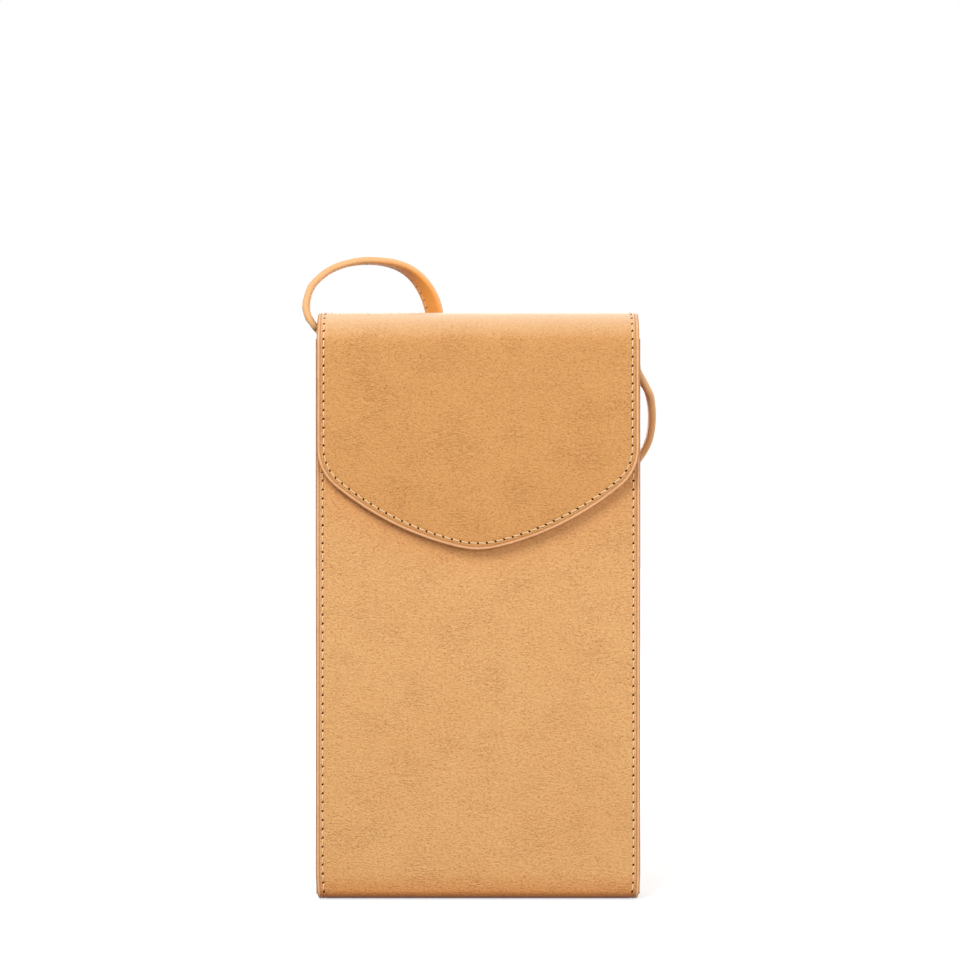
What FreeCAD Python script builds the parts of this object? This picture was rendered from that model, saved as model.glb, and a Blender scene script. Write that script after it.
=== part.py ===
# Phone pouch: a folded leather body with side gussets, a magnetic flap on a round fold, and a strap.
# Frame: the origin is on the floor under the middle of the base, +Z is up and the front faces -Y.
import FreeCAD, Part
import math
import os
import Sketcher
from FreeCAD import Placement, Rotation, Vector

doc = FreeCAD.newDocument("phone_pouch")

# Driving dimensions, in millimetres and degrees
DRIVING_SIZES = (
    ("pouch_width", 106),
    ("pouch_height", 192),
    ("body_depth", 20),
    ("outer_leather", 1.5),
    ("lining_leather", 1.2),
    ("gusset_leather", 1.2),
    ("base_bend", 2),
    ("mouth_drop", 9),
    ("gusset_drop", 23),
    ("flange_width", 5),
    ("gusset_bend", 1),
    ("facing_length", 75),
    ("facing_side_gap", 0.8),
    ("back_facing_length", 30),
    ("flap_gap", 0.9),
    ("flap_side_inset", 0.5),
    ("flap_length", 78),
    ("shoulder_radius", 16),
    ("flap_curve_radius", 98),
    ("tip_radius", 27),
    ("tip_slope", 13),
    ("crease_gap", 0.2),
    ("magnet_diameter", 12),
    ("magnet_thickness", 0.8),
    ("magnet_drop", 66),
    ("magnet_clearance", 0.1),
    ("stitch_pitch", 2.9),
    ("stitch_length", 2.1),
    ("stitch_width", 0.6),
    ("stitch_proud", 0.25),
    ("stitch_inset", 2.3),
    ("stitch_slant", 8),
    ("strap_width", 8),
    ("strap_leather", 2),
    ("strap_forward", 1.2),
    ("strap_sewn_length", 26),
    ("left_strap_rise", 3.8),
    ("left_strap_bend", 14),
    ("left_strap_turn", 40),
    ("left_strap_run", 5.8),
    ("right_strap_rise", 3),
    ("right_strap_bend", 3.3),
    ("right_strap_turn", 150),
    ("right_strap_run", 1),
    ("strap_stitch_inset", 1.2),
    ("coil_radius", 41.5),
    ("coil_pitch", 3),
    ("coil_layer_gap", 0.6),
    ("coil_standoff", 1.4),
    ("coil_lean", 42),
    ("coil_floor_gap", 0.1),
    ("tie_width", 5),
    ("tie_leather", 0.8),
    ("tie_clearance", 0.2),
)
sheet = doc.addObject("Spreadsheet::Sheet", "sizes")
for row, (alias, number) in enumerate(DRIVING_SIZES, start=1):
    sheet.set(f"A{row}", alias)
    sheet.set(f"B{row}", str(number))
    sheet.setAlias(f"B{row}", alias)
doc.recompute()

# The fold over the top is cut into this many strips, so that it can unroll
FOLD_STRIPS = 3
FOLD_STEP = 180 / FOLD_STRIPS

# How far a cutting sketch runs past the edge that it cuts
OVERRUN = 5

# Places that several pieces share, as expressions on the sheet
BACK_FACE = "sizes.body_depth / 2"
BACK_INNER = "(sizes.body_depth / 2 - sizes.outer_leather)"
FLAP_STACK = "(sizes.flap_gap + sizes.lining_leather + sizes.outer_leather)"
FOLD_RADIUS = f"((sizes.body_depth + {FLAP_STACK}) / 2)"
FOLD_Z = f"(sizes.pouch_height - {FOLD_RADIUS})"
PANEL_TOP = f"({FOLD_Z} - sizes.crease_gap / 2)"
MOUTH_Z = "(sizes.pouch_height - sizes.mouth_drop)"
GUSSET_TOP = "(sizes.pouch_height - sizes.gusset_drop)"
WEB_INNER = "(sizes.pouch_width / 2 - sizes.flange_width - sizes.gusset_leather)"
FACING_HALF = f"({WEB_INNER} - sizes.facing_side_gap)"
FLAP_HALF = "(sizes.pouch_width / 2 - sizes.flap_side_inset)"
FLAP_INNER = "(sizes.body_depth / 2 + sizes.flap_gap)"
MAGNET_Z = "(sizes.pouch_height - sizes.magnet_drop)"

# The same places as numbers, for the stitches, the strap and the first guess of each sketch
fold_stack = sheet.flap_gap + sheet.lining_leather + sheet.outer_leather
fold_radius = (sheet.body_depth + fold_stack) / 2
fold_y = -fold_stack / 2
fold_z = sheet.pouch_height - fold_radius
panel_top = fold_z - sheet.crease_gap / 2
mouth_z = sheet.pouch_height - sheet.mouth_drop
gusset_top = sheet.pouch_height - sheet.gusset_drop
front_face = -sheet.body_depth / 2
back_face = sheet.body_depth / 2
flap_half = sheet.pouch_width / 2 - sheet.flap_side_inset
flap_face = front_face - fold_stack
flap_inner = front_face - sheet.flap_gap
web_inner = sheet.pouch_width / 2 - sheet.flange_width - sheet.gusset_leather
facing_half = web_inner - sheet.facing_side_gap
magnet_z = sheet.pouch_height - sheet.magnet_drop
tip_z = sheet.pouch_height - sheet.flap_length

parts = []


def new_body(label):
    body = doc.addObject("PartDesign::Body", label)
    body.Label = label
    parts.append(body)
    return body


def new_sketch(body, role, name, offset="0"):
    sketch = body.newObject("Sketcher::SketchObject", name)
    plane = next(item for item in body.Origin.OriginFeatures if item.Role == role)
    sketch.AttachmentSupport = [(plane, "")]
    sketch.MapMode = "FlatFace"
    sketch.setExpression("AttachmentOffset.Base.z", offset)
    return sketch


def dimension(sketch, name, expression, *constraint):
    index = sketch.addConstraint(Sketcher.Constraint(*constraint))
    sketch.renameConstraint(index, name)
    sketch.setExpression(f"Constraints.{name}", expression)


def add_rectangle(sketch, left, low, right, high):
    corners = (Vector(-1, 1, 0), Vector(1, 1, 0), Vector(1, 2, 0), Vector(-1, 2, 0))
    for corner in range(4):
        sketch.addGeometry(Part.LineSegment(corners[corner], corners[(corner + 1) % 4]), False)
    for side in range(4):
        sketch.addConstraint(Sketcher.Constraint("Coincident", side, 2, (side + 1) % 4, 1))
        sketch.addConstraint(Sketcher.Constraint("Vertical" if side % 2 else "Horizontal", side))
    dimension(sketch, "left", left, "DistanceX", -1, 1, 0, 1, -1)
    dimension(sketch, "low", low, "DistanceY", -1, 1, 0, 1, 1)
    dimension(sketch, "right", right, "DistanceX", -1, 1, 2, 1, 1)
    dimension(sketch, "high", high, "DistanceY", -1, 1, 2, 1, 2)


def add_circle(sketch, centre_height, radius, first_radius):
    sketch.addGeometry(Part.Circle(Vector(0, magnet_z, 0), Vector(0, 0, 1), first_radius), False)
    sketch.addConstraint(Sketcher.Constraint("PointOnObject", 0, 3, -2))
    dimension(sketch, "centre_height", centre_height, "DistanceY", -1, 1, 0, 3, magnet_z)
    dimension(sketch, "radius", radius, "Radius", 0, first_radius)


def pad(body, sketch, name, length, side_type="One side", reverse=False):
    feature = body.newObject("PartDesign::Pad", name)
    feature.Profile = sketch
    feature.SideType = side_type
    feature.Reversed = reverse
    feature.setExpression("Length", length)
    doc.recompute()
    return feature


def pocket(body, sketch, name, length, side_type="One side", reverse=False):
    before = body.Shape.Volume
    feature = body.newObject("PartDesign::Pocket", name)
    feature.Profile = sketch
    feature.SideType = side_type
    feature.Reversed = reverse
    feature.setExpression("Length", length)
    doc.recompute()
    if not body.Shape.Volume < before:
        raise RuntimeError(f"{name} cuts nothing")
    return feature


def round_edges(body, base, name, radius, chosen):
    edges = [f"Edge{i}" for i, edge in enumerate(base.Shape.Edges, start=1) if chosen(edge)]
    if not edges:
        raise RuntimeError(f"{name} finds no edge")
    feature = body.newObject("PartDesign::Fillet", name)
    feature.Base = (base, edges)
    feature.setExpression("Radius", radius)
    doc.recompute()
    return feature


def runs_along_x(edge):
    return edge.BoundBox.YLength < 1e-6 and edge.BoundBox.ZLength < 1e-6


# Body leather: one strip that makes the front panel, turns round the base and climbs as the back panel
def make_body_wrap():
    body = new_body("body_wrap")
    block = new_sketch(body, "YZ_Plane", "wrap_block")
    add_rectangle(block, f"-{BACK_FACE}", "0", BACK_FACE, "sizes.pouch_height")
    base = pad(body, block, "wrap_pad", "sizes.pouch_width", "Symmetric")
    base = round_edges(body, base, "wrap_base_bends", "sizes.base_bend",
                       lambda edge: runs_along_x(edge) and edge.CenterOfMass.z < 1e-6)
    hollow = new_sketch(body, "YZ_Plane", "wrap_hollow")
    add_rectangle(hollow, f"-{BACK_INNER}", "sizes.outer_leather", BACK_INNER, f"sizes.pouch_height + {OVERRUN}")
    base = pocket(body, hollow, "wrap_hollow_cut", f"sizes.pouch_width + {OVERRUN}", "Symmetric")
    inner = sheet.outer_leather
    base = round_edges(body, base, "wrap_inner_bends", "sizes.base_bend - sizes.outer_leather",
                       lambda edge: runs_along_x(edge) and abs(edge.CenterOfMass.z - inner) < 1e-6
                       and abs(abs(edge.CenterOfMass.y) - (back_face - inner)) < 1e-6)
    mouth = new_sketch(body, "YZ_Plane", "mouth_edge")
    add_rectangle(mouth, f"-{BACK_FACE} - {OVERRUN}", MOUTH_Z, "0", f"sizes.pouch_height + {OVERRUN}")
    pocket(body, mouth, "mouth_cut", f"sizes.pouch_width + {OVERRUN}", "Symmetric")
    crease = new_sketch(body, "YZ_Plane", "back_crease")
    add_rectangle(crease, "0", PANEL_TOP, f"{BACK_FACE} + {OVERRUN}", f"sizes.pouch_height + {OVERRUN}")
    pocket(body, crease, "back_crease_cut", f"sizes.pouch_width + {OVERRUN}", "Symmetric")


# Side gussets: trays of thinner leather, their flanges turned outwards and sewn to the panels
def make_gusset(label, side):
    body = new_body(label)
    depth = "sizes.flange_width + sizes.gusset_leather"
    outer = "sizes.pouch_width / 2"
    start = f"-{outer}" if side < 0 else f"{outer} - ({depth})"
    block = new_sketch(body, "YZ_Plane", f"{label}_block", start)
    add_rectangle(block, f"-{BACK_INNER}", "sizes.outer_leather", BACK_INNER, GUSSET_TOP)
    base = pad(body, block, f"{label}_pad", depth)
    low = sheet.outer_leather
    base = round_edges(body, base, f"{label}_base_bends", "sizes.base_bend - sizes.outer_leather",
                       lambda edge: runs_along_x(edge) and abs(edge.CenterOfMass.z - low) < 1e-6)
    channel = new_sketch(body, "YZ_Plane", f"{label}_channel", f"-{outer}" if side < 0 else outer)
    inner = f"({BACK_INNER} - sizes.gusset_leather)"
    add_rectangle(channel, f"-{inner}", "sizes.outer_leather + sizes.gusset_leather", inner,
                  f"{GUSSET_TOP} + {OVERRUN}")
    base = pocket(body, channel, f"{label}_channel_cut", "sizes.flange_width", reverse=side < 0)

    def on_web_rim(edge):
        box = edge.BoundBox
        flat = box.XLength < 1e-6 and abs(box.XMin - side * web_inner) < 1e-6
        return flat and box.ZMin < gusset_top - 1e-6

    round_edges(body, base, f"{label}_web_bends", "sizes.gusset_bend", on_web_rim)


# Facings: thin leather inside the mouth; the front one has a round recess for its magnet
def make_front_facing():
    body = new_body("front_facing")
    outline = new_sketch(body, "XZ_Plane", "front_facing_outline", BACK_INNER)
    low = f"{MOUTH_Z} - sizes.facing_length"
    add_rectangle(outline, f"-{FACING_HALF}", low, FACING_HALF, MOUTH_Z)
    pad(body, outline, "front_facing_pad", "sizes.lining_leather", reverse=True)
    recess = new_sketch(body, "XZ_Plane", "front_magnet_recess", BACK_INNER)
    add_circle(recess, MAGNET_Z, "sizes.magnet_diameter / 2 + sizes.magnet_clearance",
               sheet.magnet_diameter / 2 + sheet.magnet_clearance)
    pocket(body, recess, "front_magnet_recess_cut", "sizes.magnet_thickness")


def make_back_facing():
    body = new_body("back_facing")
    outline = new_sketch(body, "XZ_Plane", "back_facing_outline", f"-{BACK_INNER}")
    low = f"{PANEL_TOP} - sizes.back_facing_length"
    add_rectangle(outline, f"-{FACING_HALF}", low, FACING_HALF, PANEL_TOP)
    pad(body, outline, "back_facing_pad", "sizes.lining_leather")


# Magnets: two thin discs that hold the flap shut, each in a recess under its own leather
def make_magnet(label, start_y, start_expression):
    disc = doc.addObject("Part::Cylinder", label)
    disc.Label = label
    disc.setExpression("Radius", "sizes.magnet_diameter / 2")
    disc.setExpression("Height", "sizes.magnet_thickness")
    disc.Placement = Placement(Vector(0, start_y, magnet_z), Rotation(Vector(1, 0, 0), -90))
    disc.setExpression("Placement.Base.y", start_expression)
    disc.setExpression("Placement.Base.z", MAGNET_Z)
    parts.append(disc)


# Flap outline: straight sides, a round shoulder, one long slow curve each side and a soft tip
def flap_curve():
    slope_b = math.radians(sheet.tip_slope)
    spread = (sheet.flap_curve_radius - sheet.tip_radius) * math.sin(slope_b)
    sine_a = (flap_half - sheet.shoulder_radius + spread) / (sheet.flap_curve_radius - sheet.shoulder_radius)
    slope_a = math.asin(sine_a)
    tip_centre = Vector(0, tip_z + sheet.tip_radius, 0)
    normal_b = Vector(math.sin(slope_b), -math.cos(slope_b), 0)
    normal_a = Vector(math.sin(slope_a), -math.cos(slope_a), 0)
    curve_centre = tip_centre - normal_b * (sheet.flap_curve_radius - sheet.tip_radius)
    shoulder_centre = curve_centre + normal_a * (sheet.flap_curve_radius - sheet.shoulder_radius)
    return slope_a, slope_b, shoulder_centre, curve_centre, tip_centre


def flap_edges(inset, top):
    slope_a, slope_b, shoulder, curve, tip = flap_curve()
    half = flap_half - inset
    down = 1.5 * math.pi

    def arc(centre, radius, start, end):
        circle = Part.Circle(centre, Vector(0, 0, 1), radius - inset)
        return Part.ArcOfCircle(circle, start, end)

    left_shoulder = Vector(-shoulder.x, shoulder.y, 0)
    left_curve = Vector(-curve.x, curve.y, 0)
    return (
        Part.LineSegment(Vector(half, shoulder.y, 0), Vector(half, top, 0)),
        Part.LineSegment(Vector(half, top, 0), Vector(-half, top, 0)),
        Part.LineSegment(Vector(-half, top, 0), Vector(-half, shoulder.y, 0)),
        arc(left_shoulder, sheet.shoulder_radius, math.pi, down - slope_a),
        arc(left_curve, sheet.flap_curve_radius, down - slope_a, down - slope_b),
        arc(tip, sheet.tip_radius, down - slope_b, down + slope_b),
        arc(curve, sheet.flap_curve_radius, down + slope_b, down + slope_a),
        arc(shoulder, sheet.shoulder_radius, down + slope_a, 2 * math.pi),
    )


def add_flap_outline(sketch):
    for edge in flap_edges(0, panel_top):
        sketch.addGeometry(edge, False)
    for first, second in ((2, 3), (3, 4), (4, 5), (5, 6), (6, 7), (7, 0)):
        sketch.addConstraint(Sketcher.Constraint("Tangent", first, 2, second, 1))
    sketch.addConstraint(Sketcher.Constraint("Coincident", 0, 2, 1, 1))
    sketch.addConstraint(Sketcher.Constraint("Coincident", 1, 2, 2, 1))
    sketch.addConstraint(Sketcher.Constraint("Vertical", 0))
    sketch.addConstraint(Sketcher.Constraint("Vertical", 2))
    sketch.addConstraint(Sketcher.Constraint("Symmetric", 1, 1, 1, 2, -2))
    sketch.addConstraint(Sketcher.Constraint("Symmetric", 5, 1, 5, 2, -2))
    sketch.addConstraint(Sketcher.Constraint("Equal", 3, 7))
    sketch.addConstraint(Sketcher.Constraint("Equal", 4, 6))
    tip_chord = 2 * sheet.tip_radius * math.sin(math.radians(sheet.tip_slope))
    dimension(sketch, "shoulder", "sizes.shoulder_radius", "Radius", 3, sheet.shoulder_radius)
    dimension(sketch, "curve", "sizes.flap_curve_radius", "Radius", 4, sheet.flap_curve_radius)
    dimension(sketch, "tip", "sizes.tip_radius", "Radius", 5, sheet.tip_radius)
    dimension(sketch, "width", f"2 * {FLAP_HALF}", "DistanceX", 1, 2, 1, 1, 2 * flap_half)
    dimension(sketch, "top", PANEL_TOP, "DistanceY", -1, 1, 1, 1, panel_top)
    dimension(sketch, "tip_height", "sizes.pouch_height - sizes.flap_length + sizes.tip_radius",
              "DistanceY", -1, 1, 5, 3, tip_z + sheet.tip_radius)
    dimension(sketch, "tip_chord", "2 * sizes.tip_radius * sin(sizes.tip_slope)",
              "DistanceX", 5, 1, 5, 2, tip_chord)


def make_flap_outer():
    body = new_body("flap_outer")
    outline = new_sketch(body, "XZ_Plane", "flap_outer_outline", f"{FLAP_INNER} + sizes.lining_leather")
    add_flap_outline(outline)
    pad(body, outline, "flap_outer_pad", "sizes.outer_leather")


def make_flap_lining():
    body = new_body("flap_lining")
    outline = new_sketch(body, "XZ_Plane", "flap_lining_outline", FLAP_INNER)
    add_flap_outline(outline)
    pad(body, outline, "flap_lining_pad", "sizes.lining_leather")
    recess = new_sketch(body, "XZ_Plane", "flap_magnet_recess", f"{FLAP_INNER} + sizes.lining_leather")
    add_circle(recess, MAGNET_Z, "sizes.magnet_diameter / 2 + sizes.magnet_clearance",
               sheet.magnet_diameter / 2 + sheet.magnet_clearance)
    pocket(body, recess, "flap_magnet_recess_cut", "sizes.magnet_thickness")


# Fold: the strip's round turn over the top, in two layers, cut across into strips that unroll
def make_fold_layer(label, strip, outer_radius, inner_radius):
    crease_angle = math.degrees(sheet.crease_gap / fold_radius)
    start_angle = strip * FOLD_STEP + crease_angle / 2
    turn = Rotation(Vector(1, 0, 0), start_angle) * Rotation(Vector(1, 1, 1), 120)
    wedge = doc.addObject("Part::Cylinder", f"{label}_wedge")
    wedge.setExpression("Radius", outer_radius)
    wedge.setExpression("Height", f"2 * {FLAP_HALF}")
    wedge.Angle = FOLD_STEP - crease_angle
    core = doc.addObject("Part::Cylinder", f"{label}_core")
    core.setExpression("Radius", inner_radius)
    core.setExpression("Height", f"2 * {FLAP_HALF}")
    for piece in (wedge, core):
        piece.Placement = Placement(Vector(-flap_half, fold_y, fold_z), turn)
        piece.setExpression("Placement.Base.x", f"-{FLAP_HALF}")
        piece.setExpression("Placement.Base.y", f"-{FLAP_STACK} / 2")
        piece.setExpression("Placement.Base.z", FOLD_Z)
    layer = doc.addObject("Part::Cut", label)
    layer.Base = wedge
    layer.Tool = core
    layer.Label = label
    parts.append(layer)


# Stitches: short slanted bars of waxed thread, seated on the leather in even rows
def new_feature(label, shape):
    feature = doc.addObject("Part::Feature", label)
    feature.Label = label
    feature.Shape = shape
    parts.append(feature)


def stitch(middle, along, outward):
    bar = Part.makeBox(sheet.stitch_length, sheet.stitch_width, sheet.stitch_proud,
                       Vector(-sheet.stitch_length / 2, -sheet.stitch_width / 2, 0))
    slant = Rotation(outward, sheet.stitch_slant)
    bar.Placement = Placement(middle, slant * Rotation(along, Vector(), outward, "ZXY"))
    return bar


def stitch_row(edges, outward):
    wire = Part.Wire(edges)
    count = max(1, round(wire.Length / sheet.stitch_pitch))
    points = wire.discretize(Number=2 * count + 1)
    return [stitch(points[2 * i + 1], points[2 * i + 2] - points[2 * i], outward) for i in range(count)]


def straight_row(start, end, outward):
    return stitch_row([Part.makeLine(start, end)], outward)


def make_panel_stitches():
    side_x = sheet.pouch_width / 2 - sheet.stitch_inset
    low = sheet.base_bend
    rows = (("front", front_face, -1, mouth_z - sheet.stitch_inset), ("back", back_face, 1, panel_top))
    for panel_name, face_y, facing, top in rows:
        for side_name, side in (("left", -1), ("right", 1)):
            start = Vector(side * side_x, face_y, low)
            end = Vector(side * side_x, face_y, top)
            bars = straight_row(start, end, Vector(0, facing, 0))
            new_feature(f"{panel_name}_{side_name}_stitches", Part.makeCompound(bars))


def make_facing_stitches():
    reach = facing_half - sheet.stitch_inset
    mouth_row = mouth_z - sheet.stitch_inset
    bars = straight_row(Vector(-reach, front_face, mouth_row), Vector(reach, front_face, mouth_row),
                        Vector(0, -1, 0))
    new_feature("mouth_stitches", Part.makeCompound(bars))
    tail_row = panel_top - sheet.back_facing_length + sheet.stitch_inset
    bars = straight_row(Vector(-reach, back_face, tail_row), Vector(reach, back_face, tail_row),
                        Vector(0, 1, 0))
    new_feature("back_facing_stitches", Part.makeCompound(bars))


def make_flap_stitches():
    bars = []
    to_flap = Rotation(Vector(1, 0, 0), 90)
    for face_y, facing in ((flap_face, -1), (flap_inner, 1)):
        curve = flap_edges(sheet.stitch_inset, panel_top)
        edges = [curve[i].toShape() for i in (2, 3, 4, 5, 6, 7, 0)]
        for edge in edges:
            edge.Placement = Placement(Vector(0, face_y, 0), to_flap)
        bars += stitch_row(edges, Vector(0, facing, 0))
    new_feature("flap_stitches", Part.makeCompound(bars))


def make_fold_stitches(label, strip):
    side_x = flap_half - sheet.stitch_inset
    count = max(1, round(math.radians(FOLD_STEP) * fold_radius / sheet.stitch_pitch))
    bars = []
    for i in range(count):
        angle = math.radians(FOLD_STEP) * (strip + (i + 0.5) / count)
        outward = Vector(0, math.cos(angle), math.sin(angle))
        along = Vector(0, -math.sin(angle), math.cos(angle))
        for side in (-1, 1):
            middle = Vector(side * side_x, fold_y, fold_z) + outward * fold_radius
            bars.append(stitch(middle, along, outward))
    new_feature(label, Part.makeCompound(bars))


# Strap ends: the strap is sewn to the inner face of each gusset and turns out over the gusset's top
def make_strap_end(label, side, rise, bend, turn, run):
    body = new_body(label)
    middle_x = f"({WEB_INNER} - sizes.strap_leather / 2)"
    middle_number = web_inner - sheet.strap_leather / 2
    sewn_low = gusset_top - sheet.strap_sewn_length
    bend_number = sheet.get(bend)
    turn_angle = math.radians(sheet.get(turn))
    spine = new_sketch(body, "XZ_Plane", f"{label}_spine", "sizes.strap_forward")
    start = Vector(side * middle_number, sewn_low, 0)
    bend_start = Vector(start.x, gusset_top + sheet.get(rise), 0)
    centre = bend_start + Vector(side * bend_number, 0, 0)
    if side > 0:
        arc_range = (math.pi - turn_angle, math.pi)
    else:
        arc_range = (0, turn_angle)
    arc = Part.ArcOfCircle(Part.Circle(centre, Vector(0, 0, 1), bend_number), *arc_range)
    bend_end = arc.StartPoint if side > 0 else arc.EndPoint
    heading = Vector(side * math.sin(turn_angle), math.cos(turn_angle), 0)
    spine.addGeometry(Part.LineSegment(start, bend_start), False)
    spine.addGeometry(arc, False)
    near, far = (2, 1) if side > 0 else (1, 2)
    spine.addGeometry(Part.LineSegment(bend_end, bend_end + heading * sheet.get(run)), False)
    spine.addConstraint(Sketcher.Constraint("Vertical", 0))
    spine.addConstraint(Sketcher.Constraint("Tangent", 0, 2, 1, near))
    spine.addConstraint(Sketcher.Constraint("Tangent", 1, far, 2, 1))
    sign = "" if side > 0 else "-"
    dimension(spine, "place", f"{sign}{middle_x}", "DistanceX", -1, 1, 0, 1, start.x)
    dimension(spine, "sewn_low", f"{GUSSET_TOP} - sizes.strap_sewn_length",
              "DistanceY", -1, 1, 0, 1, start.y)
    dimension(spine, "bend_start", f"{GUSSET_TOP} + sizes.{rise}", "DistanceY", -1, 1, 0, 2, bend_start.y)
    dimension(spine, "bend", f"sizes.{bend}", "Radius", 1, bend_number)
    dimension(spine, "run", f"sizes.{run}", "Distance", 2, 1, 2, 2, sheet.get(run))
    dimension(spine, "turn", f"sizes.{turn}", "Angle", 1, turn_angle)
    section = new_sketch(body, "XY_Plane", f"{label}_section", f"{GUSSET_TOP} - sizes.strap_sewn_length")
    half = "sizes.strap_leather / 2"
    add_rectangle(section, f"{sign}{middle_x} - {half}", "-sizes.strap_forward - sizes.strap_width / 2",
                  f"{sign}{middle_x} + {half}", "-sizes.strap_forward + sizes.strap_width / 2")
    pipe = body.newObject("PartDesign::AdditivePipe", f"{label}_pipe")
    pipe.Profile = section
    pipe.Spine = spine
    doc.recompute()
    end = bend_end + heading * sheet.get(run)
    return (Vector(end.x, -sheet.strap_forward, end.y), Vector(heading.x, 0, heading.y))


def make_strap_end_stitches(label, side):
    face_x = side * (web_inner - sheet.strap_leather)
    half = sheet.strap_width / 2 - sheet.strap_stitch_inset
    low = gusset_top - sheet.strap_sewn_length + sheet.strap_stitch_inset
    bars = []
    for row_y in (-sheet.strap_forward - half, -sheet.strap_forward + half):
        bars += straight_row(Vector(face_x, row_y, low), Vector(face_x, row_y, gusset_top),
                             Vector(-side, 0, 0))
    new_feature(label, Part.makeCompound(bars))


# Strap: a flat leather ribbon along straight runs and tangent arcs. Each arc takes this share of the
# shorter run beside it, and the strap leaves its sewn ends straight for a short lead.
SHARE_OF_RUN = 0.45
STRAP_LEAD = 5
ACROSS = Vector(0, 1, 0)


def rounded_route(name, points):
    edges = []
    radii = []
    last = points[0]
    for before, corner, after in zip(points, points[1:], points[2:]):
        back = before - corner
        ahead = after - corner
        turn = math.pi - back.getAngle(ahead)
        trim = SHARE_OF_RUN * min(back.Length, ahead.Length)
        radius = trim / math.tan(turn / 2)
        start = corner + back.normalize() * trim
        end = corner + ahead.normalize() * trim
        to_centre = (back + ahead).normalize()
        reach = radius / math.cos(turn / 2) - radius
        edges.append(Part.makeLine(last, start))
        edges.append(Part.Arc(start, corner + to_centre * reach, end).toShape())
        radii.append(radius)
        last = end
    edges.append(Part.makeLine(last, points[-1]))
    print(name, "radii in mm:", ", ".join(f"{radius:.1f}" for radius in radii))
    return Part.Wire(edges)


def strap_section(start, heading, across):
    thick = across.cross(heading).normalize() * (sheet.strap_leather / 2)
    wide = across * (sheet.strap_width / 2)
    corners = [start + thick + wide, start - thick + wide, start - thick - wide, start + thick - wide]
    return Part.makePolygon(corners + corners[:1])


def make_stretch(label, points, heading, ring_across):
    turning = (ACROSS + ring_across).normalize()
    acrosses = [ACROSS] * (len(points) - 3) + [turning, ring_across, ring_across]
    edge_points = [point + across * (sheet.strap_width / 2) for point, across in zip(points, acrosses)]
    wire = rounded_route(label, points)
    shell = Part.BRepOffsetAPI.MakePipeShell(wire)
    shell.setAuxiliarySpine(rounded_route(label + " edge", edge_points), True, 0)
    shell.add(strap_section(points[0], heading, ACROSS))
    shell.build()
    shell.makeSolid()
    ribbon = shell.shape()
    share = ribbon.Volume / (sheet.strap_width * sheet.strap_leather * wire.Length)
    print(f"{label}: {wire.Length:.1f} mm long, {share:.4f} of its section times its length")
    new_feature(label, ribbon)


def left_route(start, heading, coil_start, coil_down):
    return [
        start,
        start + heading * STRAP_LEAD,
        Vector(-57.0, 6.2, 195.2),
        Vector(-55.8, 15.2, 202.5),
        Vector(-48.5, 19.0, 209.2),
        Vector(-36.5, 19.6, 211.8),
        Vector(-23.5, 19.4, 209.0),
        Vector(-15.4, 18.8, 198.8),
        Vector(-13.6, 18.2, 185.0),
        Vector(-18.0, 17.8, 156.0),
        Vector(-28.0, 18.6, 120.0),
        Vector(-37.0, 22.4, 82.0),
        coil_start - coil_down * 20,
        coil_start,
    ]


def right_route(start, heading, coil_end, coil_up):
    return [
        start,
        start + heading * STRAP_LEAD,
        Vector(58.3, 3.4, 163.2),
        Vector(58.8, 9.6, 155.4),
        Vector(56.8, 15.2, 147.8),
        Vector(52.8, 19.4, 137.4),
        Vector(48.8, 23.0, 117.0),
        Vector(46.0, 27.6, 90.0),
        coil_end + coil_up * 22,
        coil_end,
    ]


# Coil: the rest of the strap, wound into a ring that stands on its rim and leans on the back panel. Each
# turn is two half circles; the front layer spirals in, half a turn climbs, the rear layer spirals out.
# These places, where one half circle ends and the next begins, are in the ring's own upright frame.
def coil_places():
    outer = sheet.coil_radius
    pitch = sheet.coil_pitch
    layer = sheet.strap_width + sheet.coil_layer_gap
    front = (-outer, outer, pitch - outer, outer - pitch)
    rear = (2 * pitch - outer, outer, pitch - outer, outer + pitch)
    return [Vector(x, 0, 0) for x in front] + [Vector(x, layer, 0) for x in rear]


def coil_frame():
    lean = math.radians(sheet.coil_lean)
    rim = sheet.coil_radius + sheet.strap_leather / 2
    half_width = sheet.strap_width / 2
    middle_y = back_face + sheet.coil_standoff + rim * math.sin(lean) + half_width * math.cos(lean)
    middle_z = sheet.coil_floor_gap + rim * math.cos(lean) + half_width * math.sin(lean)
    return Placement(Vector(0, middle_y, middle_z), Rotation(Vector(1, 0, 0), sheet.coil_lean))


def coil_wire():
    places = coil_places()
    edges = []
    for i, (start, end) in enumerate(zip(places, places[1:])):
        radius = start.distanceToPoint(end) / 2
        up_or_down = -1 if i % 2 == 0 else 1
        crest = (start + end) * 0.5 + Vector(0, 0, up_or_down * radius)
        edges.append(Part.Arc(start, crest, end).toShape())
    return Part.Wire(edges)


# Sections of the coil, per turn, on which its least gap to itself is measured
SECTIONS_PER_TURN = 60


def least_gap(wire):
    turns = len(wire.Edges) / 2
    line = wire.discretize(Number=int(SECTIONS_PER_TURN * turns) + 1)
    half_turn = SECTIONS_PER_TURN // 2
    least = float("inf")
    for i, here in enumerate(line):
        for there in line[i + half_turn:]:
            apart_y = max(0, abs(here.y - there.y) - sheet.strap_width)
            apart_xz = max(0, math.hypot(here.x - there.x, here.z - there.z) - sheet.strap_leather)
            least = min(least, math.hypot(apart_y, apart_xz))
    return least


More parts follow.
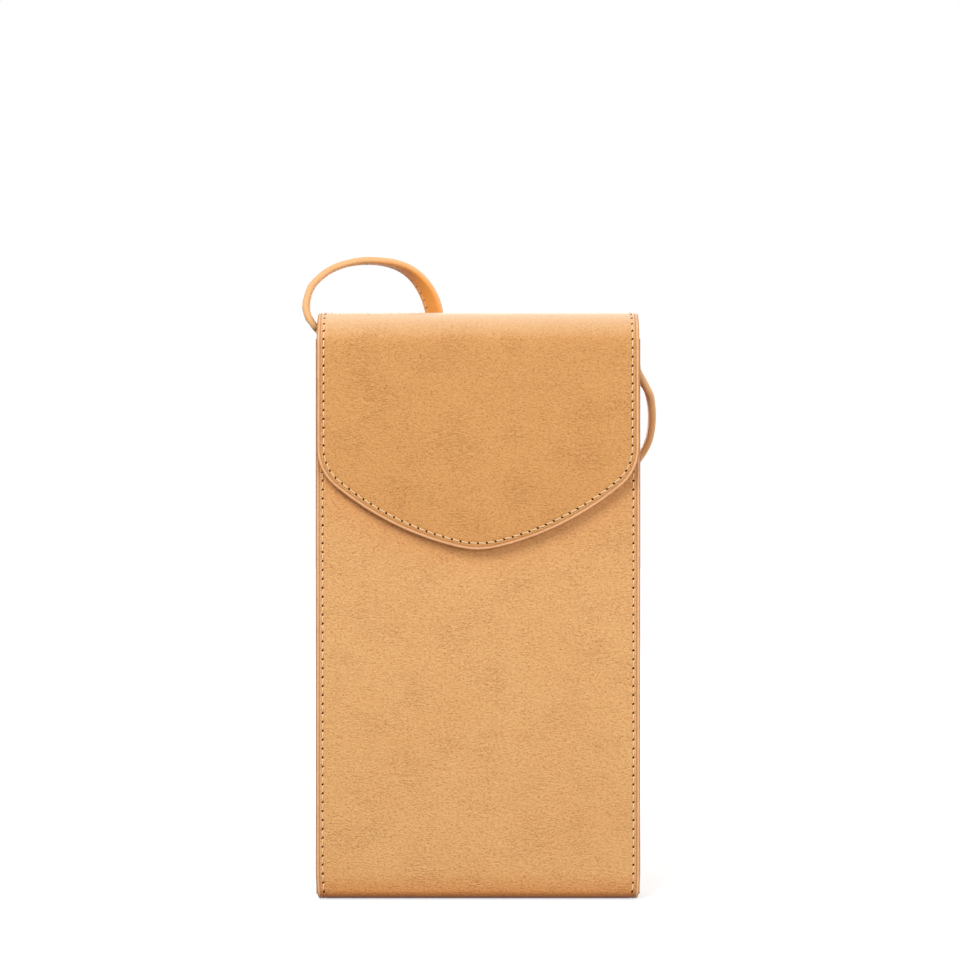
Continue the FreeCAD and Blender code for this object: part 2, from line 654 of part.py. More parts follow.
def make_coil():
    wire = coil_wire()
    shell = Part.BRepOffsetAPI.MakePipeShell(wire)
    shell.setBiNormalMode(ACROSS)
    shell.add(strap_section(coil_places()[0], Vector(0, 0, -1), ACROSS))
    shell.build()
    shell.makeSolid()
    ring = shell.shape()
    ring.Placement = coil_frame()
    print(f"strap_coil: {wire.Length:.1f} mm long, least gap to itself {least_gap(wire):.2f} mm")
    new_feature("strap_coil", ring)


# Tie: a thin leather band round the top of the coil
def make_tie():
    places = coil_places()
    top_middle = (places[1] + places[2]) * 0.5
    top_radius = places[1].distanceToPoint(places[2]) / 2
    climb_radius = places[3].distanceToPoint(places[4]) / 2
    half = sheet.strap_leather / 2
    low = climb_radius - sheet.coil_pitch / 2 - half
    high = top_radius + half + sheet.tie_clearance
    front = places[0].y - sheet.strap_width / 2 - sheet.tie_clearance
    rear = places[-1].y + sheet.strap_width / 2 + sheet.tie_clearance
    grow = sheet.tie_leather
    corner = Vector(top_middle.x - sheet.tie_width / 2, front, low)
    inner = Part.makeBox(sheet.tie_width, rear - front, high - low, corner)
    outer = Part.makeBox(sheet.tie_width, rear - front + 2 * grow, high - low + 2 * grow,
                         corner - Vector(0, grow, grow))
    band = outer.cut(inner)
    band.Placement = coil_frame()
    new_feature("strap_tie", band)


make_body_wrap()
make_gusset("left_gusset", -1)
make_gusset("right_gusset", 1)
make_front_facing()
make_back_facing()
make_magnet("front_magnet", front_face + sheet.outer_leather, f"-{BACK_INNER}")
make_panel_stitches()
make_facing_stitches()

outer_layer = (FOLD_RADIUS, f"{FOLD_RADIUS} - sizes.outer_leather")
lining_layer = (outer_layer[1], f"{FOLD_RADIUS} - sizes.outer_leather - sizes.lining_leather")
for strip in range(FOLD_STRIPS):
    make_fold_layer(f"fold_{strip + 1}_outer", strip, *outer_layer)
    make_fold_layer(f"fold_{strip + 1}_lining", strip, *lining_layer)
    make_fold_stitches(f"fold_{strip + 1}_stitches", strip)
make_flap_outer()
make_flap_lining()
make_magnet("flap_magnet", flap_inner - sheet.lining_leather, f"-{FLAP_INNER} - sizes.lining_leather")
make_flap_stitches()

left_exit = make_strap_end("left_strap_end", -1, "left_strap_rise", "left_strap_bend",
                           "left_strap_turn", "left_strap_run")
right_exit = make_strap_end("right_strap_end", 1, "right_strap_rise", "right_strap_bend",
                            "right_strap_turn", "right_strap_run")
make_strap_end_stitches("left_strap_end_stitches", -1)
make_strap_end_stitches("right_strap_end_stitches", 1)

ring_frame = coil_frame()
coil_start = ring_frame.multVec(coil_places()[0])
coil_end = ring_frame.multVec(coil_places()[-1])
ring_up = ring_frame.Rotation.multVec(Vector(0, 0, 1))
ring_across = ring_frame.Rotation.multVec(ACROSS)
make_stretch("strap_left_stretch", left_route(*left_exit, coil_start, -ring_up), left_exit[1], ring_across)
make_stretch("strap_right_stretch", right_route(*right_exit, coil_end, ring_up), right_exit[1], ring_across)
make_coil()
make_tie()

doc.recompute()
for item in doc.Objects:
    if "Invalid" in item.State or "Error" in item.State:
        raise RuntimeError(f"{item.Label} failed: {item.State}")
for item in parts:
    if item.Shape.isNull() or not item.Shape.isValid():
        raise RuntimeError(f"{item.Label} has no valid shape")

os.makedirs("parts", exist_ok=True)
for item in parts:
    item.Shape.exportStep(os.path.join("parts", f"{item.Label}.step"))
print(len(parts), "sub-parts written")
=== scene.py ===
from math import atan2, copysign, cos, degrees, dist, hypot, pi, radians, sin

import bmesh
import bpy
from mathutils import Matrix, Vector, noise


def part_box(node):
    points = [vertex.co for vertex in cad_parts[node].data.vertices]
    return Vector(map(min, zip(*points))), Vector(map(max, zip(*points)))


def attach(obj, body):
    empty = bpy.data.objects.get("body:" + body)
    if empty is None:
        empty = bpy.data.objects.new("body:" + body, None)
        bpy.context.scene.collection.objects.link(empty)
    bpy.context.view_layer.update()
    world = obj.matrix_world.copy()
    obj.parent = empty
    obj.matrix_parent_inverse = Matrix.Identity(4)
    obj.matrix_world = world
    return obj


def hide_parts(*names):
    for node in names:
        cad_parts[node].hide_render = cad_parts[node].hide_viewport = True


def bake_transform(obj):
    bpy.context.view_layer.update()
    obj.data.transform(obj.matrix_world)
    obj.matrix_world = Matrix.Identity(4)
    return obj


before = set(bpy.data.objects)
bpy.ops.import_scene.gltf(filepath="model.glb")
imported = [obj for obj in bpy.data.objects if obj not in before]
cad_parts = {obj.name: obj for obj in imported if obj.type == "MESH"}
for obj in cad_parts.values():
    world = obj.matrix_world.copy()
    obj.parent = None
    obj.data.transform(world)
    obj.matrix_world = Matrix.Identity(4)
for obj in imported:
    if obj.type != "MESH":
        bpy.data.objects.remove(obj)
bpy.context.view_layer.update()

# Body leather: one strip of natural tanned hide, folded round the base into front panel, base and back
# panel. Its cut edges are burnished, with a pale painted highlight on the rounded corner and a browner
# creased line beside them.
MM = 0.001
BODY_HALF_WIDTH = 53.0
BODY_HALF_DEPTH = 10.0
BODY_LEATHER = 1.5
BASE_BEND = 3.0
BASE_HALF_FLAT = BODY_HALF_DEPTH - BASE_BEND
MOUTH = 183.0
SEAM_BELOW_FOLD = 174.0
CORNER_RISE, CORNER_DRAW = 10.0, 0.7
PINCH_STEPS, PINCHED_TO = 4, 0.3
END_LENGTH = 1.0
ROW_STEP = 2.0
COLUMNS = 52
BEND_STEPS, BASE_STEPS = 12, 8
WELD_DISTANCE = 0.002
GRAIN, FLESH, EDGE, EDGE_HIGHLIGHT, CREASE = range(5)
# Near a cut edge: distance in from the edge, height of the grain side, height of the flesh side, finish
# The pale ring on the rounded corner of the edge is a painted highlight
BURNISHED_EDGE = [
    (0.00, -0.66, 0.42, EDGE), (0.07, -0.42, 0.22, EDGE), (0.20, -0.22, 0.09, EDGE),
    (0.36, -0.09, 0.02, EDGE_HIGHLIGHT), (0.62, 0.00, 0.00, EDGE_HIGHLIGHT),
]
CREASED_LINE = [
    (0.92, 0.00, 0.00, GRAIN), (1.08, -0.10, 0.00, CREASE), (1.22, -0.15, 0.00, CREASE),
    (1.36, -0.10, 0.00, GRAIN), (1.56, 0.00, 0.00, GRAIN),
]
STITCH_CHANNEL = [
    (1.85, 0.00, 0.00, GRAIN), (2.05, -0.09, 0.00, GRAIN), (2.30, -0.13, 0.00, GRAIN),
    (2.55, -0.09, 0.00, GRAIN), (2.75, 0.00, 0.00, GRAIN), (3.60, 0.00, 0.00, GRAIN),
]
SEWN_EDGE = BURNISHED_EDGE + CREASED_LINE + STITCH_CHANNEL


def new_piece(name, corners, faces, finishes, face_finish, hide=None):
    mesh = bpy.data.meshes.new(name)
    mesh.from_pydata([Vector(corner) * MM for corner in corners], [], faces)
    for finish in finishes:
        mesh.materials.append(finish)
    mesh.polygons.foreach_set("material_index", face_finish)
    mesh.polygons.foreach_set("use_smooth", [True] * len(faces))
    if hide is not None:
        flat = mesh.uv_layers.new(name="hide")
        flat.data.foreach_set("uv", [x for loop in mesh.loops for x in hide[loop.vertex_index]])
    welded = bmesh.new()
    welded.from_mesh(mesh)
    bmesh.ops.remove_doubles(welded, verts=welded.verts, dist=WELD_DISTANCE * MM)
    bmesh.ops.recalc_face_normals(welded, faces=welded.faces)
    welded.to_mesh(mesh)
    welded.free()
    piece = bpy.data.objects.new(name, mesh)
    bpy.context.collection.objects.link(piece)
    return piece


# A leather layer as a grid: each row lists (grain corner, flesh corner, place on the flat hide) across it
def leather_layer(name, rows, finishes, edge=SEWN_EDGE, capped=(True, True)):
    corners, hide, faces, face_finish = [], [], [], []
    count = len(rows[0])
    for row in rows:
        grain_side, under_side, flat = zip(*row)
        corners += grain_side + under_side
        hide += flat * 2
    for r in range(len(rows) - 1):
        here, ahead = 2 * count * r, 2 * count * (r + 1)
        for c in range(count - 1):
            inward = min(c, count - 2 - c)
            finish = edge[inward][3] if inward < len(edge) - 1 else GRAIN
            faces.append((here + c, ahead + c, ahead + c + 1, here + c + 1))
            face_finish.append(finish)
            under, under_ahead = here + count + c, ahead + count + c
            faces.append((under, under + 1, under_ahead + 1, under_ahead))
            face_finish.append(EDGE if finish == EDGE else FLESH)
        faces.append((here, here + count, ahead + count, ahead))
        faces.append((here + count - 1, ahead + count - 1, ahead + 2 * count - 1, here + 2 * count - 1))
        face_finish += [EDGE, EDGE]
    for r, turn, closed in ((0, 1, capped[0]), (len(rows) - 1, -1, capped[1])):
        for c in range(count - 1 if closed else 0):
            start = 2 * count * r + c
            faces.append((start, start + 1, start + 1 + count, start + count)[::turn])
            face_finish.append(EDGE)
    return new_piece(name, corners, faces, finishes, face_finish, hide)


def strip_columns(half_width, thick, edge, columns):
    inner = half_width - edge[-1][0]
    left = [(-half_width + e, grain, flesh - thick) for e, grain, flesh, finish in edge]
    middle = [(inner * (2 * i / columns - 1), 0.0, -thick) for i in range(1, columns)]
    right = [(-x, grain, flesh) for x, grain, flesh in reversed(left)]
    return left + middle + right


def across_pouch(across, y, z):
    return (across, y, z)


# A strip bent one way: each line gives its place, its outward direction, the distance along the hide, the
# half width there, and how far its end is pinched in towards the middle of the leather
def strip_layer(name, lines, thick, finishes, edge=SEWN_EDGE, capped=(True, True), columns=COLUMNS,
                shape=None, stand=across_pouch):
    rows = []
    for (a, b), (out_a, out_b), along, half_width, pinch in lines:
        row = []
        for across, grain, flesh in strip_columns(half_width, thick, edge, columns):
            lifts = [(lift + thick / 2) * pinch - thick / 2 for lift in (grain, flesh)]
            if shape:
                lifts[0] += shape(across, a, b, half_width)
            sides = [stand(across, a + out_a * lift, b + out_b * lift) for lift in lifts]
            row.append((*sides, (across * MM, along * MM)))
        rows.append(row)
    return leather_layer(name, rows, finishes, edge, capped)


def between(first, last, steps):
    return [first + (last - first) * i / steps for i in range(steps + 1)]


def pinched_end(thick):
    quarter = reversed(between(0, pi / 2, PINCH_STEPS))
    return [(thick / 2 * (1 - sin(turn)), max(PINCHED_TO, cos(turn))) for turn in quarter]


def measured(places, half_width):
    lines, along, last = [], 0.0, places[0][0]
    for place, out, pinch in places:
        along += dist(place, last)
        last = place
        lines.append((place, out, along, half_width(place), pinch))
    return lines


# The corners of the base draw in a little where the seams end
def body_half_width(z):
    near_base = max(0, 1 - z / CORNER_RISE)
    return BODY_HALF_WIDTH - CORNER_DRAW * near_base * near_base


def base_bend(y, out):
    return ((y + BASE_BEND * out[0], BASE_BEND * (1 + out[1])), out, 1)


def body_lines():
    cut = pinched_end(BODY_LEATHER)
    places = [((-BODY_HALF_DEPTH, MOUTH - inset), (-1, 0), pinch) for inset, pinch in cut]
    front = between(MOUTH - END_LENGTH, BASE_BEND, round((MOUTH - BASE_BEND) / ROW_STEP))
    places += [((-BODY_HALF_DEPTH, z), (-1, 0), 1) for z in front[1:]]
    quarter = between(0, pi / 2, BEND_STEPS)
    places += [base_bend(-BASE_HALF_FLAT, (-cos(turn), -sin(turn))) for turn in quarter[1:]]
    base = between(-BASE_HALF_FLAT, BASE_HALF_FLAT, BASE_STEPS)
    places += [((y, 0), (0, -1), 1) for y in base[1:-1]]
    places += [base_bend(BASE_HALF_FLAT, (sin(turn), -cos(turn))) for turn in quarter]
    back = between(BASE_BEND, SEAM_BELOW_FOLD, round((SEAM_BELOW_FOLD - BASE_BEND) / ROW_STEP))
    places += [((BODY_HALF_DEPTH, z), (1, 0), 1) for z in back[1:]]
    return measured(places, lambda place: body_half_width(place[1]))


# The hide isn't dead flat: it swells and dips a little away from its sewn edges and the base
SWELL, RIPPLE = 0.22, 0.05
FLAT_EDGE, FLAT_FOOT, SWELL_RUN = 4.0, 6.0, 12.0


def soft_swell(x, y, z, half_width):
    from_edge = min(1, max(0, half_width - abs(x) - FLAT_EDGE) / SWELL_RUN)
    from_base = min(1, max(0, z - FLAT_FOOT) / SWELL_RUN)
    wide = noise.noise(Vector((x / 38, y / 9 + 3.1, z / 46)))
    close = noise.noise(Vector((x / 13 + 7.7, y / 9, z / 15)))
    return from_edge * from_base * (SWELL * wide + RIPPLE * close)


def add_node(tree, kind, inputs=(), **settings):
    made = tree.nodes.new(kind)
    for key, value in settings.items():
        setattr(made, key, value)
    for key, value in dict(inputs).items():
        if isinstance(value, bpy.types.NodeSocket):
            tree.links.new(value, made.inputs[key])
        else:
            made.inputs[key].default_value = value
    return made


def colour(red, green, blue):
    linear = [c / 255 / 12.92 if c <= 10 else ((c / 255 + 0.055) / 1.055) ** 2.4 for c in (red, green, blue)]
    return (*linear, 1)


def grey(level):
    return (level, level, level, 1)


# Each stop gives a place and a shade: red, green and blue, or one number for a grey
def ramp(factor, *stops):
    made = add_node(factor.id_data, "ShaderNodeValToRGB", {0: factor})
    while len(made.color_ramp.elements) < len(stops):
        made.color_ramp.elements.new(0.5)
    for element, (place, shade) in zip(made.color_ramp.elements, stops):
        element.position = place
        element.color = colour(*shade) if isinstance(shade, tuple) else grey(shade)
    return made.outputs[0]


def mix(blend_type, factor, a, b):
    inputs = {0: factor, 6: a, 7: colour(*b) if isinstance(b, tuple) else b}
    return add_node(a.id_data, "ShaderNodeMix", inputs, data_type="RGBA", blend_type=blend_type).outputs[2]


def number(operation, *values):
    tree = next(value.id_data for value in values if isinstance(value, bpy.types.NodeSocket))
    return add_node(tree, "ShaderNodeMath", enumerate(values), operation=operation).outputs[0]


def times(a, b):
    return number("MULTIPLY", a, b)


def away_from(a, b):
    return number("ABSOLUTE", number("SUBTRACT", a, b))


def weigh(*parts):
    total = 0.0
    for part, weight in parts:
        total = number("MULTIPLY_ADD", part, weight, total)
    return total


# A finish is worked out on the flat hide, before it is bent and sewn
def on_hide(tree):
    return add_node(tree, "ShaderNodeUVMap", uv_map="hide").outputs[0]


def hide_axes(tree):
    return add_node(tree, "ShaderNodeSeparateXYZ", {0: on_hide(tree)}).outputs


def mottle(place, scale, detail, roughness=0.5):
    inputs = {"Vector": place, "Scale": scale, "Detail": detail, "Roughness": roughness}
    return add_node(place.id_data, "ShaderNodeTexNoise", inputs).outputs[0]


def drawn_out(place, across, along):
    inputs = {"Vector": place, "Scale": (across, along, 1.0)}
    return add_node(place.id_data, "ShaderNodeMapping", inputs).outputs[0]


def new_finish(name):
    finish = bpy.data.materials.new(name)
    finish.use_nodes = True
    return finish


def set_finish(finish, tone, rough, relief, strength, depth, all_over=()):
    tree = finish.node_tree
    shader = tree.nodes["Principled BSDF"]
    bump = add_node(tree, "ShaderNodeBump", {"Height": relief, "Strength": strength, "Distance": depth * MM})
    for socket, value in (("Base Color", tone), ("Roughness", rough), ("Normal", bump.outputs[0])):
        tree.links.new(value, shader.inputs[socket])
    for socket, value in dict(all_over).items():
        shader.inputs[socket].default_value = value
    return finish


# Tanned hide: fine raised grain, drawn out a little across the hide, with short wrinkles and patches where
# the tan took darker. Over the fold, from bend_at on, the stretched hide is smoother and paler, partly from
# the stretch and partly a painted sheen, and past it darker.
GRAIN_WANDER = 1.6
FOLD_REACH = 0.06
NO_BEND = 9.0


def tanned_hide(name, pale, dark, pit, grain=1.0, wrinkles=1.0, rough=0.5, gloss=0.55,
                bend_at=NO_BEND):
    finish = new_finish(name)
    tree = finish.node_tree
    flat = on_hide(tree)
    wander = mottle(flat, 620.0, 2.0).node.outputs["Color"]
    wander = add_node(tree, "ShaderNodeVectorMath", {0: wander, 1: (0.5, 0.5, 0.5)}, operation="SUBTRACT")
    reach = (GRAIN_WANDER * MM,) * 3
    loose = add_node(tree, "ShaderNodeVectorMath", {0: wander.outputs[0], 1: reach, 2: flat},
                     operation="MULTIPLY_ADD").outputs[0]
    patches = mottle(flat, 70.0, 3.0)
    broad = mottle(flat, 24.0, 3.0)
    drawn = drawn_out(loose, 1240.0, 2060.0)
    fine = mottle(drawn, 1.0, 3.0)
    cells = add_node(tree, "ShaderNodeTexVoronoi", {"Vector": drawn, "Scale": 0.9, "Smoothness": 0.8},
                     feature="SMOOTH_F1")
    valley = ramp(cells.outputs["Distance"], (0.25, 0), (0.75, 1))
    pores = add_node(tree, "ShaderNodeTexVoronoi", {"Vector": loose, "Scale": 640.0}, voronoi_dimensions="2D")
    pores = ramp(pores.outputs["Distance"], (0.08, 0.7), (0.20, 0))
    hollow = number("MAXIMUM", ramp(fine, (0.30, 0.9), (0.49, 0)), pores)
    hollow = times(hollow, ramp(mottle(flat, 150.0, 2.0), (0.36, 0.72), (0.64, 1)))
    creases = mottle(drawn_out(loose, 330.0, 1150.0), 1.0, 2.0)
    crease_line = ramp(away_from(creases, 0.5), (0.0, 1), (0.04, 0.4), (0.10, 0))
    crease_line = times(crease_line, ramp(patches, (0.44, 0), (0.64, 1)))
    past_bend = number("DIVIDE", number("SUBTRACT", hide_axes(tree)[1], bend_at), FOLD_REACH)
    taut_with_sheen = ramp(past_bend, (0.08, 0), (0.20, 1), (0.50, 1), (0.68, 0))
    on_flap = ramp(past_bend, (0.46, 0), (0.68, 1))
    relief = number("SUBTRACT", 1.0, times(taut_with_sheen, 0.75))
    tone = number("SUBTRACT", weigh((broad, 0.65), (patches, 0.35), (fine, 0.3)), 0.15)
    tan = ramp(tone, (0.30, dark), (0.68, pale))
    tan = mix("MULTIPLY", on_flap, tan, (238, 227, 199))
    # Painted sheen: where it is taut over the fold the hide is mixed towards a pale cream
    tan = mix("MIX", times(taut_with_sheen, 0.5), tan, (238, 213, 184))
    dips = weigh((valley, 0.12 * grain), (hollow, 0.68 * grain), (crease_line, 0.2 * wrinkles))
    tan = mix("MULTIPLY", times(dips, relief), tan, pit)
    height = times(weigh((valley, -0.35), (fine, 1.6), (crease_line, -0.5 * wrinkles)), relief)
    shine = number("ADD", weigh((fine, 0.12), (taut_with_sheen, -0.1)), rough - 0.06)
    return set_finish(finish, tan, shine, height, 0.8 * grain, 0.22, {"Specular IOR Level": gloss})


# A second tone laid over the tan, where wear, light or thread has changed it
def shade_hide(finish, shade, factor=1.0, blend_type="MULTIPLY"):
    socket = finish.node_tree.nodes["Principled BSDF"].inputs["Base Color"]
    shaded = mix(blend_type, factor, socket.links[0].from_socket, shade)
    finish.node_tree.links.new(shaded, socket)


# Burnished edge: fibre rubbed smooth with wax, in fine layers along the edge
def burnished(name, light, deep, rough=0.3, gloss=0.5):
    finish = new_finish(name)
    flat = on_hide(finish.node_tree)
    fibre = mottle(flat, 700.0, 4.0)
    tone = weigh((mottle(flat, 120.0, 2.0), 0.5), (fibre, 0.5))
    shine = number("MULTIPLY_ADD", fibre, 0.2, rough - 0.1)
    tone = ramp(tone, (0.35, deep), (0.65, light))
    return set_finish(finish, tone, shine, fibre, 0.25, 0.1, {"Specular IOR Level": gloss})


# Flesh side: the loose inner fibre of the hide, paler and napped
def flesh_side(name, pale, dark):
    finish = new_finish(name)
    flat = on_hide(finish.node_tree)
    nap = mottle(flat, 1600.0, 5.0, 0.7)
    tone = weigh((mottle(flat, 90.0, 3.0), 0.5), (nap, 0.5))
    shine = number("MULTIPLY_ADD", nap, 0.2, 0.75)
    tone = ramp(tone, (0.35, dark), (0.65, pale))
    return set_finish(finish, tone, shine, nap, 0.6, 0.25, {"Sheen Weight": 0.15})


body_places = body_lines()
seam_along = body_places[-1][2]
tan_leather = tanned_hide("tan_leather", (232, 178, 112), (224, 166, 99), (205, 146, 20),
                          bend_at=seam_along * MM)
# Painted contact shadow round the base: the hide is darkened towards the base bend and is near black at the
# bottom, with a little wear from standing on it
BASE_SHADOW_HEIGHT = 12.0
BASE_SHADOW_AND_WEAR = [(0.12, (74, 36, 16)), (0.20, (214, 172, 124)), (0.36, (240, 218, 190)), (0.9, 1)]
base_middle = next(along for place, out, along, half, pinch in body_places if place == (0, 0))
from_base = away_from(hide_axes(tan_leather.node_tree)[1], base_middle * MM)
from_base = number("SUBTRACT", from_base, BASE_HALF_FLAT * MM)
shade_hide(tan_leather, ramp(number("DIVIDE", from_base, BASE_SHADOW_HEIGHT * MM), *BASE_SHADOW_AND_WEAR))
tan_edge = burnished("tan_burnished_edge", (196, 142, 104), (164, 112, 80), gloss=0.2)
# Painted highlight: a pale ring on the rounded corner of each cut edge
tan_edge_highlight = burnished("tan_painted_edge_highlight", (232, 178, 130), (222, 164, 114), rough=0.4)
tan_crease = burnished("tan_creased_line", (194, 132, 82), (176, 114, 68), rough=0.5)
tan_flesh = flesh_side("tan_flesh_side", (222, 176, 124), (190, 140, 92))
hide_finishes = [tan_leather, tan_flesh, tan_edge, tan_edge_highlight, tan_crease]
body = strip_layer("body_leather", body_places, BODY_LEATHER, hide_finishes, capped=(True, False),
                   shape=soft_swell)
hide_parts("body_wrap")
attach(body, "pouch")

# Gussets: two narrow strips of the same hide, let in between the panels so that the pouch opens. Their sides
# turn outwards as flanges, and the side seams run through these and the panels.
GUSSET_LEATHER = 1.2
GUSSET_WEB = 48.0
GUSSET_FLANGE = BODY_HALF_DEPTH - BODY_LEATHER - GUSSET_LEATHER
GUSSET_BEND = 1.4
GUSSET_BASE, GUSSET_TOP = 1.6, 169.0
GUSSET_MIDDLE = (GUSSET_TOP + GUSSET_BASE) / 2
FLANGE_EDGE = BODY_HALF_WIDTH - 0.1
FLANGE_END = BODY_HALF_WIDTH - 0.8
FLANGE_STEPS, WEB_STEPS = 2, 6
PLAIN_EDGE = BURNISHED_EDGE + [(1.2, 0.0, 0.0, GRAIN), (2.4, 0.0, 0.0, GRAIN)]


def gusset_lines():
    cut = pinched_end(GUSSET_LEATHER)
    places = [((FLANGE_EDGE - inset, -GUSSET_FLANGE), (0, 1), pinch) for inset, pinch in cut]
    inner = GUSSET_WEB + GUSSET_BEND
    places += [((x, -GUSSET_FLANGE), (0, 1), 1) for x in between(FLANGE_END, inner, FLANGE_STEPS)[1:]]
    for turn in between(0, pi / 2, WEB_STEPS)[1:]:
        out = (sin(turn), cos(turn))
        places.append(((inner - GUSSET_BEND * out[0], GUSSET_BEND * (1 - out[1]) - GUSSET_FLANGE), out, 1))
    web = between(GUSSET_BEND - GUSSET_FLANGE, 0, WEB_STEPS)
    places += [((GUSSET_WEB, y), (1, 0), 1) for y in web[1:]]
    mirrored = [((x, -y), (out_x, -out_y), pinch) for (x, y), (out_x, out_y), pinch in reversed(places[:-1])]
    return measured(places + mirrored, lambda place: (GUSSET_TOP - GUSSET_BASE) / 2)


gusset_leather = tanned_hide("gusset_leather", (228, 170, 110), (208, 144, 86),
                             (190, 138, 20), grain=0.7, wrinkles=0.5)
gusset_finishes = [gusset_leather, tan_flesh, tan_edge, tan_edge_highlight]
for side, hand in (("left", -1), ("right", 1)):
    gusset = strip_layer(f"{side}_gusset_leather", gusset_lines(), GUSSET_LEATHER, gusset_finishes,
                         PLAIN_EDGE, stand=lambda across, x, y: (hand * x, y, GUSSET_MIDDLE + across))
    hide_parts(f"{side}_gusset")
    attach(gusset, "pouch")

# Facings: smooth lining leather glued inside the mouth. The front one hides the front magnet, and the back
# one is the tail of the flap's lining.
LINING_LEATHER = 1.2
FACING_HALF_WIDTH = 46.0
FACING_Y = BODY_HALF_DEPTH - BODY_LEATHER - LINING_LEATHER
FACING_STEP = 3.0
# Side, place and outward direction in depth, floor, top, and whether the top is a cut edge
FACINGS = [("front", -FACING_Y, 1, 108.0, MOUTH - 0.1, True),
           ("back", FACING_Y, -1, 150.1, SEAM_BELOW_FOLD, False)]
lining_leather = tanned_hide("lining_leather", (226, 170, 112), (208, 148, 92),
                             (190, 138, 20), grain=0.45, wrinkles=0.3, rough=0.6)
lining_finishes = [lining_leather, tan_flesh, tan_edge, tan_edge_highlight]
for side, y, out, low, high, top_is_cut in FACINGS:
    cut = pinched_end(LINING_LEATHER)
    heights = [(low + inset, pinch) for inset, pinch in cut]
    rise = between(low + END_LENGTH, high - END_LENGTH, round((high - low) / FACING_STEP))
    heights += [(z, 1) for z in rise[1:-1]]
    heights += [(high - inset, pinch) for inset, pinch in reversed(cut)] if top_is_cut else [(high, 1)]
    lines = [((y, z), (out, 0), z, FACING_HALF_WIDTH, pinch) for z, pinch in heights]
    facing = strip_layer(f"{side}_facing_leather", lines, LINING_LEATHER, lining_finishes, PLAIN_EDGE,
                         (True, top_is_cut))
    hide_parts(f"{side}_facing")
    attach(facing, "pouch")

# Fold: the body leather and the lining run on together over the top as a soft half round, which unrolls when
# the flap is lifted. It is dressed in four lengths, each covering one part of the fold.
FOLD_RADIUS = 11.8
LINING_RADIUS = FOLD_RADIUS - BODY_LEATHER - LINING_LEATHER
FOLD_LINE_Y, FOLD_LINE_Z = -1.8, 180.2
FLAP_HALF_WIDTH = 52.5
FOLD_LENGTHS = [("back", "pouch", "fold_1"), ("rise", "fold_1", "fold_2"), ("crown", "fold_2", "fold_3"),
                ("brow", "fold_3", "flap")]
FOLD_ANGLES = [0, 30, 90, 150, 180]
FOLD_STEP = 1.5
STRAIGHT_RUN = FOLD_LINE_Z - SEAM_BELOW_FOLD
STRAIGHT_STEPS = 5
# How much of the change of width is over where the bend starts, and how early it ends
WIDTH_AT_BEND, WIDTH_EARLY = 0.6, 1.2
OPEN_ENDS = (False, False)


def ease(part):
    return part * part * (3 - 2 * part)


def fold_half_width(half_at_back, part):
    return half_at_back + (FLAP_HALF_WIDTH - half_at_back) * min(1, ease(min(1, part)) * WIDTH_EARLY)


def fold_place(angle, radius):
    turn = radians(angle)
    return (FOLD_LINE_Y + radius * cos(turn), FOLD_LINE_Z + radius * sin(turn))


def fold_lines(first, last, radius, out_of, start_along, half_at_back):
    lines = []
    if first == 0:
        for z in between(SEAM_BELOW_FOLD, FOLD_LINE_Z, STRAIGHT_STEPS)[:-1]:
            run = z - SEAM_BELOW_FOLD
            half = fold_half_width(half_at_back, WIDTH_AT_BEND * run / STRAIGHT_RUN)
            lines.append(((FOLD_LINE_Y + radius, z), (out_of, 0), start_along + run, half, 1))
    arc_along = start_along + STRAIGHT_RUN
    for angle in between(first, last, round((last - first) / FOLD_STEP)):
        turn = radians(angle)
        out = (out_of * cos(turn), out_of * sin(turn))
        half = fold_half_width(half_at_back, WIDTH_AT_BEND + (1 - WIDTH_AT_BEND) * angle / FOLD_ANGLES[1])
        lines.append((fold_place(angle, radius), out, arc_along + turn * FOLD_RADIUS, half, 1))
    if last == FOLD_ANGLES[-1]:
        for z in between(FOLD_LINE_Z, SEAM_BELOW_FOLD, STRAIGHT_STEPS)[1:]:
            along = arc_along + pi * FOLD_RADIUS + FOLD_LINE_Z - z
            lines.append(((FOLD_LINE_Y - radius, z), (-out_of, 0), along, FLAP_HALF_WIDTH, 1))
    return lines


# Painted light: the flap's edge paint is lighter than the body's, to offset the shade on its downward-facing
# cut edge
flap_edge_lightened = burnished("flap_edge_painted_lighter", (218, 156, 96), (196, 130, 72), rough=0.55, gloss=0.08)
flap_finishes = [flap_edge_lightened if finish is tan_edge else finish for finish in hide_finishes]
flap_lining_finishes = [flap_edge_lightened if finish is tan_edge else finish for finish in lining_finishes]
blend_ends = [(FOLD_LINE_Y + LINING_RADIUS, SEAM_BELOW_FOLD)]
blend_ends += [fold_place(angle, LINING_RADIUS) for angle in FOLD_ANGLES[1:-1]]
blend_ends += [(FOLD_LINE_Y - LINING_RADIUS, SEAM_BELOW_FOLD)]
blend_ends = [Vector((0, y, z)) * MM for y, z in blend_ends]
for i, (length, carrier, carried) in enumerate(FOLD_LENGTHS):
    first, last = FOLD_ANGLES[i:i + 2]
    lines = fold_lines(first, last, FOLD_RADIUS, 1, seam_along, BODY_HALF_WIDTH)
    outer = strip_layer(f"fold_{length}_leather", lines, BODY_LEATHER, flap_finishes, capped=OPEN_ENDS)
    lines = fold_lines(first, last, LINING_RADIUS, -1, 0, FACING_HALF_WIDTH)
    inner = strip_layer(f"fold_{length}_lining", lines, LINING_LEATHER, flap_lining_finishes, PLAIN_EDGE,
                        OPEN_ENDS)
    if carried != "flap":
        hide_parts(f"{carried}_outer")
        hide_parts(f"{carried}_lining")
    for layer in (outer, inner):
        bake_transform(layer)

